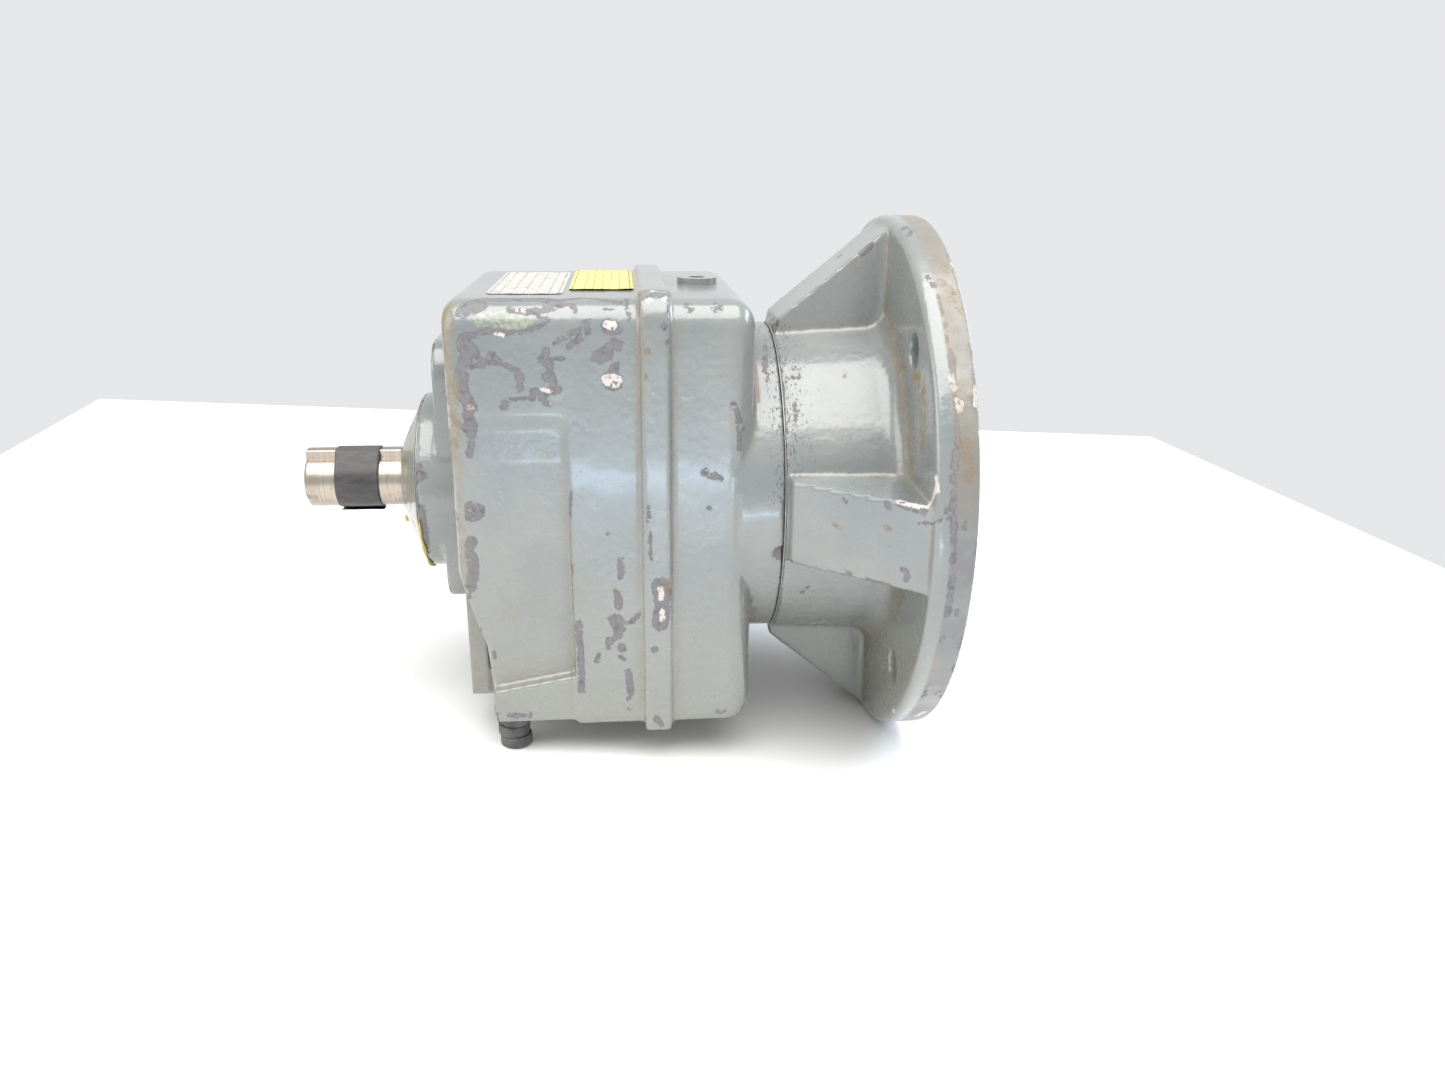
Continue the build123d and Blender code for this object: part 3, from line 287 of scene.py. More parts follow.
# strokes of chipped paint on the near wall: half a width, then x and height up the wall at each point,
# in millimetres; above the wall the height goes on over the rounded top edge
NEAR_WALL_CHIPS = (
    # along the top edge
    (1.9, (-162, 74.5), (-156, 79), (-149, 79), (-139, 79), (-134, 76.5)),
    (0.9, (-134, 76.5), (-124.5, 80.5), (-112, 76)),
    (2.4, (-163, 72), (-158, 74.5)),
    (1.4, (-148, 73), (-143, 72), (-138, 72.5), (-134, 73.5)),
    (0.8, (-134, 73.5), (-128.5, 75.5), (-127, 72)),
    (0.9, (-163, 64), (-158.5, 64.5), (-154, 66), (-149, 65)),
    (0.6, (-149, 65), (-142.5, 65.5), (-138, 67.5), (-136, 69.2), (-139, 70.3)),
    (0.4, (-118, 73), (-114, 73)),
    (0.7, (-110.5, 79), (-110, 72.5), (-109.5, 69.5)),
    (1.2, (-121, 95.5), (-114, 95.5)),
    # down the front edge
    (2.2, (-163.5, 62), (-162.5, 58), (-164, 54), (-165, 50)),
    (2.2, (-165, 50), (-165.5, 46.5), (-163.5, 43), (-162.5, 40.5)),
    (0.9, (-160.5, 61), (-158, 55)),
    (0.9, (-161.5, 54), (-157.5, 54.5), (-154, 57), (-149.5, 54), (-146.5, 52.5), (-146, 47)),
    (1.5, (-154.5, 57.5), (-153.5, 56)),
    (1.3, (-146, 51), (-146, 47)),
    (1.6, (-164, 37.5), (-162, 34.5), (-163, 31)),
    (1.1, (-167, 35), (-164.5, 32.5)),
    (1.1, (-163, 28), (-164, 24)),
    (1.5, (-151.5, 41), (-151.3, 41.2)),
    (1.9, (-165, 5.5), (-162, 4.5), (-162.5, 2.5), (-165.5, 2)),
    (1.9, (-165.5, -7), (-166.5, -10), (-165.5, -14), (-165.5, -18.5), (-167, -24.5)),
    (0.9, (-168.5, -28.5), (-168, -28.6)),
    (0.6, (-160.5, -51), (-160.5, -53)),
    # upper middle of the wall
    (1.3, (-137, 59), (-138.5, 56), (-136, 54)),
    (0.5, (-134.5, 56.5), (-131, 56.5)),
    (2.0, (-136.5, 50.5), (-135.5, 48.5)),
    (1.2, (-141.5, 45.5), (-133.5, 46)),
    (1.1, (-139, 43.5), (-137, 41.5)),
    (0.6, (-149, 43), (-145.5, 43.4), (-141.5, 43)),
    (0.8, (-134, 61.5), (-130, 64), (-125.5, 66)),
    (1.0, (-129.5, 60.5), (-125, 63.5)),
    (0.5, (-124.5, 68.5), (-121.5, 69)),
    (0.7, (-123.5, 68.5), (-123, 65)),
    (2.9, (-115.8, 67.2), (-115, 66.8)),
    (1.6, (-121, 57), (-117.5, 59), (-115, 61.5), (-113, 60.5)),
    (2.0, (-119, 56.5), (-117, 58)),
    (1.5, (-114.5, 54), (-115.5, 51)),
    (3.2, (-116, 49.2), (-115, 48.8)),
    # lower middle of the wall
    (1.2, (-129.5, -38), (-129.5, -46), (-129, -54), (-129.5, -65)),
    (1.1, (-114, -14.5), (-114, -20.5)),
    (1.3, (-115.5, -27), (-115, -32)),
    (2.7, (-116.2, -37.5), (-115, -39.5)),
    (1.2, (-115, -43), (-118.5, -45), (-119, -47.5)),
    (1.6, (-114.5, -48), (-114.3, -48.5)),
    (0.9, (-114.8, -52), (-113.5, -53)),
    (0.9, (-123, -51), (-123.2, -53)),
    (1.2, (-112, -58), (-111.5, -66.5)),
    (0.5, (-112.6, -69), (-111, -69)),
    (0.4, (-112.6, -73.2), (-111, -73.2)),
    (0.8, (-110.5, -38), (-107.5, -35)),
    (0.4, (-130.5, 10.5), (-131, 2)),
    # the raised band, the rear and the foot
    (1.4, (-105, 79), (-101, 81), (-97, 80)),
    (0.9, (-104, 74), (-101, 76), (-97.5, 75)),
    (0.8, (-98.5, 67), (-97.5, 66.5)),
    (0.6, (-97.5, 62), (-97.4, 61.8)),
    (0.5, (-104, 56), (-104, 55)),
    (0.5, (-104.5, 51), (-104.5, 50)),
    (0.7, (-104, 6), (-104, 0)),
    (0.3, (-103.5, -3), (-103.5, -14)),
    (2.8, (-100.5, -23), (-99.5, -30), (-100.5, -38)),
    (1.2, (-102.5, -48), (-102.3, -48.2)),
    (1.2, (-102, -76), (-100.5, -78.5)),
    (0.25, *ring(-90, 73.5, 2.0)),
    (0.4, (-90.8, 74.4), (-89.4, 72.6)),
    (0.2, *ring(-80.5, 73.5, 2.0)),
    (1.1, (-80.4, 73.5), (-80.1, 73.4)),
    (0.9, (-75, 41), (-73.2, 37), (-72.6, 31), (-72.6, 25)),
    (0.6, (-72.5, 34), (-71, 31)),
    (1.5, (-84.5, 17), (-82, 16), (-79.5, 14.5)),
    (0.6, (-83.3, 4), (-82.6, 4.1)),
    (1.0, (-79, -75.5), (-77, -75)),
    (0.9, (-69.8, -77), (-69.2, -76)),
    (0.9, (-156, -74.5), (-148.5, -74.7)),
    (0.8, (-161, -73), (-160, -74)),
)
# places where the primer has gone as well, and the pale filler shows
FILLER_SPOTS = (
    (1.0, (-145.5, 72.6), (-144, 72.4)),
    (0.6, (-152.5, 64.6), (-150.5, 64.3)),
    (1.6, (-116.3, 67.6), (-115, 67.3)),
    (2.2, (-117, 49.3), (-114.2, 49)),
    (0.9, (-103.6, 73.5), (-102.5, 73.8)),
    (0.9, (-98.5, 74.3), (-97.6, 74.2)),
    (0.7, (-102, 78.5), (-100, 80)),
    (1.0, (-100.3, -24.5), (-100, -28)),
    (1.0, (-99.8, -33.5), (-99.6, -36.5)),
    (0.7, (-139, 46.2), (-136, 46)),
    (1.0, (-162.6, 40.6), (-162.2, 40.2)),
)
RUST_SPOTS = (
    (1.0, (-98, -21), (-97, -27)),
    (0.8, (-116, -25.5), (-115.5, -27)),
    (0.9, (-131, -16.5), (-131, -19)),
    (1.1, (-104, 59.5), (-104, 58.5)),
    (1.0, (-170, 3), (-169.6, 1)),
    (0.7, (-118.5, -4.5), (-118.3, -4.6)),
    (0.4, (-112, 3), (-112, 2.9)),
    (0.3, (-147.5, 40.5), (-147.4, 40.4)),
    (1.2, (-162.6, 41), (-162.4, 40)),
)
YELLOWED_PATCH = (
    (2.6, (-157.5, 69.5), (-151, 70.5), (-143, 69)),
    (3.0, (-152, 69), (-146, 68.5)),
)


def stroke_depth(places, strokes):
    """How far inside the nearest stroke each place lies, in millimetres; outside is negative."""
    depth = np.full(len(places), -WEAR_ZERO)
    for half_width, *path in strokes:
        for start, end in zip(path, path[1:]):
            run = np.subtract(end, start)
            share = ((places - start) @ run / max(run @ run, 1e-6)).clip(0, 1)
            gap = np.linalg.norm(places - start - share[:, None] * run, axis=1)
            depth = np.maximum(depth, half_width - gap)
    return depth


def wall_height(points):
    """Height up the near wall, which goes on over the rounded edge and across the top."""
    centre_y, centre_z = TOP_ROUND - WALL_Y, TOP_Z - TOP_ROUND
    turn = np.arctan2(points[:, 2] - centre_z, centre_y - points[:, 1]).clip(0, math.pi / 2)
    over = np.maximum(points[:, 1] - centre_y, 0)
    return np.where(points[:, 2] < centre_z, points[:, 2], centre_z + TOP_ROUND * turn + over)


def cast_fields(mesh, voxel, is_crisp=None, is_soft=None):
    """Softens the edges, less or more where asked, and gives the skin its edge and crease fields."""
    edges = read_rows(mesh.edges, "vertices", 2, np.int32)
    sharp = vertex_points(mesh)
    points = relaxed(sharp, edges, 1, 0.7)
    if is_crisp is not None:
        points = np.where(is_crisp(sharp)[:, None], sharp, points)
    if is_soft is not None:
        points = np.where(is_soft(sharp)[:, None], relaxed(sharp, edges, 16), points)
    set_points(mesh, points)
    normals = read_rows(mesh.vertex_normals, "vector", 3).astype(float)
    bend = ((neighbour_mean(points, edges) - points) * normals).sum(1) / voxel
    bend = relaxed(bend, edges, 2)
    set_fields(mesh, edge=(-bend * 8.0).clip(0, 1), crease=(relaxed(bend, edges, 2) * 9.0).clip(0, 1))
    return points, normals


def uneven_skin(mesh, points, normals, keep, seed, node):
    """Low swells and dents of a sand casting, inside the node's box; keep is 1 where it was machined."""
    swell = 0.07 * lumps(points, 19.0, seed) + 0.03 * lumps(points, 6.0, seed + 1)
    low, high = box_in_mm(node)
    set_points(mesh, (points + normals * (swell * (1 - keep))[:, None]).clip(low, high))


def above_relief(at):
    """The near wall where the relief fades out below the front corner."""
    return (np.abs(at[:, 2] - RELIEF_TOP_Z) < 4.5) & (at[:, 0] < STEP_X - 1.5) & (at[:, 1] < -WALL_Y + 4)


def gear_case_piece():
    """The case: chips where the strokes say on the near wall, and scattered wear on the other sides."""
    voxel = 1.0
    mesh = voxel_copy("gear_case", voxel)
    points, normals = cast_fields(mesh, voxel, lambda at: at[:, 0] > JOINT_X - 2.5, above_relief)
    x, y, z = points.T
    inside = (np.abs(y) < CHAMBER_HALF_W + 1) & (x > FRONT_WALL_X - 1) & (x < JOINT_X - 8)
    inside &= (z > CHAMBER_Z[0]) & (z < CHAMBER_Z[1])
    machined = ((x > JOINT_X - 0.4) | inside | (y > WALL_Y + 3)).astype(float)
    near = (y < NEAR_SIDE_Y) & ~inside
    wall = np.column_stack([x, wall_height(points)])
    scattered = 2.2 * lumps(points, 9.0, 5) + 1.6 * lumps(points, 30.0, 6) - 2.6
    in_notch = (np.hypot(x - JOINT_X, z - NOTCH_Z) < NOTCH_R + 0.5) & (np.hypot(y, z) < NECK_R - 0.7)
    in_notch &= y < 0
    ends = np.where(in_notch, 2.0, stroke_depth(points, NECK_MARKS + BOSS_CHIPS))
    chips = np.where(near, stroke_depth(wall, NEAR_WALL_CHIPS), scattered)
    set_wear(mesh, machined == 0, chips=np.maximum(chips, ends))
    for name, strokes in (("filler", FILLER_SPOTS), ("rust", RUST_SPOTS), ("yellowed", YELLOWED_PATCH)):
        set_wear(mesh, near, **{name: stroke_depth(wall, strokes)})
    front_edge = bell(x, FRONT_X + 1.8, 2.4) * (np.abs(y) > BLOCK_HALF_W)
    front_edge *= 0.5 + 1.0 * (z > 26) * (y < 0)
    grime = front_edge * (0.85 + 0.6 * lumps(points, 12.0, 8))
    grime += 0.7 * bell(x, BAND_FRONT_X, 1.2) * (z > 40) + 0.2 * bell(x, JOINT_X, 0.8)
    near_joint = bell(x, JOINT_X, 9.0) * (z > 0) * (x > JOINT_X - 10)
    set_fields(mesh, grime=grime.clip(0, 1), machined=machined, scuffed=near_joint, thin=0.0)
    uneven_skin(mesh, points, normals, np.maximum(machined, x > JOINT_X - 2.5), 1, "gear_case")
    link_piece("gear_case_casting", mesh, ["gear_case"])


# marks on the adapter: half a width, then points in space, in millimetres
NECK_MARKS = (
    on_neck(0.7, (-60, 66.5), (-61, 56), (-61, 48.5)),
    on_neck(1.1, (-61, 59), (-61.5, 53)),
    on_neck(0.75, (-57, 6.5), (-56, -7.5)),
    (0.8, (-56, -55.5, -17), (-56, -49, -35), (-55.5, -30.5, -52)),
)
RIM_LINE_CHIPS = (
    on_flange(0.5, (-8.5, 51), (-8, 45), (-8, 39), (-7.5, 34)),
    on_flange(0.75, (-7.5, 34), (-7.5, 28.5), (-7.5, 23), (-8, 16)),
    on_flange(0.95, (-8.5, 19), (-9, 14), (-9, 8.5)),
    on_flange(0.95, (-9, 8.5), (-8, 2), (-8, -1)),
    on_flange(0.9, (-7.5, -4.5), (-7.5, -9), (-7.5, -12.5)),
    on_flange(1.0, (-10, 7.5), (-10.5, 8.5)),
    on_flange(0.6, (-4.5, -11.5), (-4.5, -12.5)),
    on_flange(0.7, (-5, 6), (-5, 5)),
)
ADAPTER_CHIPS = (
    (1.1, (-24, -15, 87.5), (-21, -15, 90)),
    (0.8, (-29, 4, 84.5), (-28, 3, 85)),
    on_flange(0.6, (-12.5, 74.5), (-10.5, 76.5), (-9.5, 74), (-12, 70.5)),
    on_flange(1.0, (-10.5, 56), (-9.5, 54.5), (-9, 53.5)),
    (1.0, (-23.5, -89, 14), (-20.5, -91, 13.5), (-17, -94.5, 13)),
    (1.1, (-27, -86, 13), (-26.5, -86.5, 12.5)),
    (0.5, (-18, -93.5, 9), (-15, -96, 9.5), (-13, -99, 11.5), (-10.5, -99, 12.5)),
    (0.7, (-39, -76, 12), (-38.5, -77, 11.5)),
    (0.9, (-21.5, -90.5, -8), (-20, -92, -9), (-20.5, -91.5, -11.5)),
    (1.1, (-38.5, -76.5, -14), (-36.5, -78.5, -14)),
    (0.6, (-31.5, -82.5, -14.5), (-27, -86, -14.5), (-23, -89.5, -15)),
    on_neck(0.85, (-48, -31), (-47.5, -30)),
    on_neck(0.85, (-46.5, -28), (-46, -27.5)),
    on_neck(0.55, (-51.5, 55), (-49, 55), (-49.5, 49.5)),
    on_neck(0.55, (-49.5, 49.5), (-52, 50), (-51.5, 55)),
    on_neck(0.75, (-52, 39), (-52, 33.5)),
)
PALE_SPOTS = (
    (1.0, (-24, -87.5, 15), (-22, -90, 14.5), (-19.5, -92.5, 14.5), (-17, -94.5, 15)),
    (1.1, (-17, -94.5, 15), (-14.5, -93.5, 16.5), (-14, -96.5, 21), (-14, -95, 24.5)),
    on_flange(1.0, (-8.5, 33), (-8, 31.5), (-7.5, 30.5)),
    on_flange(1.0, (-7, 28.5), (-6, 28), (-6.5, 26.5)),
    on_flange(1.0, (-0.5, 31), (-0.5, 29.5), (-1, 27.5)),
    on_flange(0.9, (-0.5, 60), (-0.5, 59)),
    on_flange(0.7, (-3, 51.5), (-3, 51)),
    on_flange(1.1, (-5, -50.5), (-3.5, -47)),
    (1.0, (-14, -63.5, -75), (-14, -65, -74)),
)
ADAPTER_RUST = (
    on_flange(1.6, (-5.5, 62), (-4, 60), (-3.5, 57.5)),
    on_flange(1.8, (-6.5, 54.5), (-4, 52), (-3, 50.5)),
    on_flange(1.8, (-4.5, 50), (-3, 48.5), (-1.5, 47)),
    on_flange(2.2, (-5, 21), (-4.5, 17.5), (-3, 16), (-4.5, 14.5)),
    (1.0, (-33, -39, 47), (-33, -39.5, 46.5)),
    on_neck(0.8, (-46, 39.5), (-46, 39)),
    (0.7, (-20.5, -50.5, 35.5), (-20.5, -51, 35)),
    on_neck(0.9, (-47.5, 24.5), (-47.5, 23.5)),
    (0.9, (-42, -73.5, 2.5), (-39.5, -75.5, 1.5)),
    (1.1, (-27, -86, 5.5), (-26, -87, 5)),
    on_flange(1.2, (-3.5, -36.5), (-2, -35)),
)
HOLE_STAIN = (
    (5.0, (-14.5, -62.5, 52), (-14.5, -71, 49.5), (-14.5, -76, 45.5), (-14.5, -77, 32.5)),
    on_flange(1.6, (-7, -22.5), (-8, -25.5), (-8, -29)),
)


def rounded_rim(points):
    """Draws the corner between the motor face and the rim onto an even round."""
    radius = np.hypot(points[:, 1], points[:, 2])
    ahead = points[:, 0] + RIM_ROUND
    outward = radius - FLANGE_R + RIM_ROUND
    scale = np.where((ahead > 0) & (outward > 0), RIM_ROUND / np.hypot(ahead, outward).clip(1e-6), 1.0)
    stretch = (FLANGE_R - RIM_ROUND + outward * scale) / radius.clip(1e-6)
    return np.column_stack([ahead * scale - RIM_ROUND, points[:, 1] * stretch, points[:, 2] * stretch])


def motor_adapter_piece():
    """The adapter: worn all round the flange's rim, by strokes on the near side, scattered on the far."""
    voxel = 1.0
    mesh = voxel_copy("motor_adapter", voxel)
    set_points(mesh, rounded_rim(vertex_points(mesh)))
    points, normals = cast_fields(mesh, voxel, lambda at: at[:, 0] < JOINT_X + 2.5)
    x, y, z = points.T
    radius = np.hypot(y, z)
    inside = (radius < CAVITY_R + 1) & (x > JOINT_X + 2)
    machined = ((x > -FACE_SKIN) & (radius < FLANGE_R - 0.6) | inside | (x < JOINT_X + 0.3)).astype(float)
    scattered = 2.2 * lumps(points, 8.0, 15) + 1.8 * lumps(points, 34.0, 16) - 3.2
    edge_of_rim = np.minimum(np.abs(x + 0.5), np.abs(x - RIM_LINE_X))
    rim_wear = 1.6 * lumps(points, 7.0, 17) + 1.2 * lumps(points, 26.0, 18) - 0.7 - 0.5 * edge_of_rim
    on_rim = (radius > FLANGE_R - 1.5) & (x > RIM_LINE_X - 1.0)
    in_sight = (y < 0) & (x > JOINT_X)
    chips = np.where(on_rim, rim_wear, np.where(in_sight, -WEAR_ZERO, scattered))
    chips = np.maximum(chips, stroke_depth(points, RIM_LINE_CHIPS + ADAPTER_CHIPS + NECK_MARKS))
    rust = 1.8 * lumps(points, 11.0, 19) + 1.8 * lumps(points, 40.0, 20) - 1.5
    rust = np.maximum(np.where(on_rim, rust, -WEAR_ZERO), stroke_depth(points, ADAPTER_RUST))
    filler = np.where(on_rim, 2.0 * lumps(points, 6.0, 22) - 0.9 - 0.8 * np.abs(x + 0.5), -WEAR_ZERO)
    filler = np.maximum(filler, stroke_depth(points, PALE_SPOTS))
    set_wear(mesh, machined == 0, chips=chips, filler=filler, rust=rust, yellowed=-WEAR_ZERO)
    grime = 0.2 * bell(x, JOINT_X, 0.8) + 1.3 * (stroke_depth(points, HOLE_STAIN) / 3.0).clip(0, 1)
    root = bell(x, FLANGE_BACK_X, 2.5) * bell(radius, NECK_R + 6, 7.0)
    grime += 0.9 * root * (0.6 + 0.8 * lumps(points, 14.0, 21))
    rim_film = ((z - 12 + 16 * lumps(points, 15.0, 24)) / 28).clip(0, 1)
    grime += 0.45 * on_rim * rim_film + 0.12 * (np.abs(x - FLANGE_BACK_X) < 1.0)
    scuffed = bell(x, JOINT_X, 12.0) * (z > 15) * (radius < NECK_R + 4)
    thin = on_rim * (0.75 + 0.35 * lumps(points, 16.0, 23))
    set_fields(mesh, grime=grime.clip(0, 1), machined=machined, scuffed=scuffed, thin=thin.clip(0, 1))
    uneven_skin(mesh, points, normals, np.maximum(machined, x < JOINT_X + 2.5), 11, "motor_adapter")
    link_piece("motor_adapter_casting", mesh, ["motor_adapter"])


# marks on the boss and the cone of the output cover
BOSS_CHIPS = (
    on_boss(1.7, (-186.5, 22.5), (-185, 18), (-186.5, 16)),
    on_boss(1.8, (-186, -4), (-186.5, -15)),
    on_boss(1.6, (-186, -18.5), (-186.5, -26.5), (-187, -39)),
    (1.1, (-191, -11, 24), (-193.5, -8, 20)),
)
BOSS_RUST = (
    on_boss(0.8, (-186.5, 39.5), (-186.5, 38)),
    on_boss(0.5, (-184, 13.5), (-183.5, 12)),
)


def small_casting_piece(name, node, voxel, seed, grime_level, marks, rust_marks):
    """A cover: the same cast skin, with its own marks and a little wear from noise."""
    mesh = voxel_copy(node, voxel)
    points, normals = cast_fields(mesh, voxel)
    wear = 1.8 * lumps(points, 7.0, seed) + 1.4 * lumps(points, 25.0, seed + 1) - 2.7
    chips = np.maximum(wear, stroke_depth(points, marks))
    rust = np.maximum(wear - 1.2, stroke_depth(points, rust_marks))
    set_wear(mesh, True, chips=chips, rust=rust, filler=-WEAR_ZERO, yellowed=-WEAR_ZERO)
    grime = grime_level * (0.5 + 0.7 * lumps(points, 9.0, seed + 2))
    set_fields(mesh, grime=grime.clip(0, 1), machined=0.0, scuffed=0.0, thin=0.0)
    uneven_skin(mesh, points, normals, 0.4, seed + 3, node)
    link_piece(name, mesh, [node])


# ---- materials
class Looks:
    """One material under construction; its methods return a socket to carry on with."""

    def __init__(self, name, metallic=0.0, specular=0.5):
        self.material = bpy.data.materials.new(name)
        self.material.use_nodes = True
        self.tree = self.material.node_tree
        self.tree.nodes.clear()
        self.shader = self.node("BsdfPrincipled", {"Metallic": metallic, "Specular IOR Level": specular})
        self.node("OutputMaterial", {"Surface": self.shader.outputs[0]})
        self.place = self.node("TexCoord", {}).outputs["Object"]

    def feed(self, socket, value):
        """Links another node's socket, or sets a constant."""
        if isinstance(value, bpy.types.NodeSocket):
            self.tree.links.new(value, socket)
        else:
            socket.default_value = value

    def node(self, kind, values, **settings):
        """A shader node with these values at its inputs and these settings of its own."""
        node = self.tree.nodes.new("ShaderNode" + kind)
        for name, setting in settings.items():
            setattr(node, name, setting)
        for name, value in values.items():
            self.feed(node.inputs[name], value)
        return node

    def noise(self, size, detail=3.0, rough=0.55, stretch=(1, 1, 1)):
        """Noise from 0 to 1 with features of about that size in millimetres."""
        scale = tuple(value / (size * MM) for value in stretch)
        place = self.node("VectorMath", {0: self.place, 1: scale}, operation="MULTIPLY").outputs[0]
        values = {"Vector": place, "Scale": 1.0, "Detail": detail, "Roughness": rough}
        return self.node("TexNoise", values).outputs["Fac"]

    def axis_mm(self, axis):
        """One coordinate in the object's own space, in millimetres."""
        return self.times(self.node("SeparateXYZ", {0: self.place}).outputs[axis], 1 / MM)

    def field(self, name):
        return self.node("Attribute", {}, attribute_name=name).outputs["Fac"]

    def wear(self, name):
        """A field of wear as a depth in millimetres."""
        return self.math("SUBTRACT", self.field(name), WEAR_ZERO)

    def math(self, operation, *values):
        return self.node("Math", dict(enumerate(values)), operation=operation).outputs[0]

    def times(self, first, second):
        return self.math("MULTIPLY", first, second)

    def scaled(self, value, scale, shift):
        return self.math("MULTIPLY_ADD", value, scale, shift)

    def rest_of(self, share):
        return self.math("SUBTRACT", 1.0, share)

    def most(self, first, *others):
        """The largest of the values at each place."""
        for other in others:
            first = self.math("MAXIMUM", first, other)
        return first

    def spread(self, value, low, high, to_low=0.0, to_high=1.0):
        """Carries low..high to to_low..to_high with soft ends."""
        values = {"Value": value, "From Min": low, "From Max": high, "To Min": to_low, "To Max": to_high}
        return self.node("MapRange", values, interpolation_type="SMOOTHSTEP").outputs[0]

    def mix(self, share, *colours):
        """The first colour, or the second as far as the share says."""
        node = self.node("Mix", {0: share}, data_type="RGBA")
        for index, colour in zip((6, 7), colours):
            is_socket = isinstance(colour, bpy.types.NodeSocket)
            self.feed(node.inputs[index], colour if is_socket else (*colour, 1.0))
        return node.outputs[2]

    def tones(self, share, *colours):
        """Colours at even steps along the share."""
        node = self.node("ValToRGB", {0: share})
        stops = node.color_ramp.elements
        while len(stops) < len(colours):
            stops.new(0.5)
        for index, colour in enumerate(colours):
            stops[index].position = index / (len(colours) - 1)
            stops[index].color = (*colour, 1.0)
        return node.outputs[0]

    def bump(self, height, depth, onto=None):
        """Relief whose height of 1 stands the depth proud, in millimetres."""
        values = {"Distance": depth * MM, "Height": height}
        if onto is not None:
            values["Normal"] = onto
        return self.node("Bump", values).outputs[0]

    def finish(self, colour, roughness, normal=None):
        """The material itself, once its shader is fed."""
        for name, value in (("Base Color", colour), ("Roughness", roughness), ("Normal", normal)):
            if value is not None:
                self.feed(self.shader.inputs[name], value)
        return self.material


PAINT_GREY = (0.212, 0.224, 0.216)
PAINT_BLUE = (0.162, 0.184, 0.189)
PAINT_FLOOR_BOUNCE_LIT = (0.225, 0.228, 0.204)
PRIMER = (0.082, 0.078, 0.088)
PRIMER_PALE = (0.152, 0.145, 0.151)
FILLER = (0.56, 0.50, 0.48)
RUST = (0.235, 0.16, 0.10)
RUST_DARK = (0.088, 0.058, 0.04)
GRIME = (0.20, 0.16, 0.098)
DUST = (0.27, 0.24, 0.175)
YELLOWED = (0.36, 0.375, 0.225)
CAST_IRON = (0.205, 0.188, 0.172)


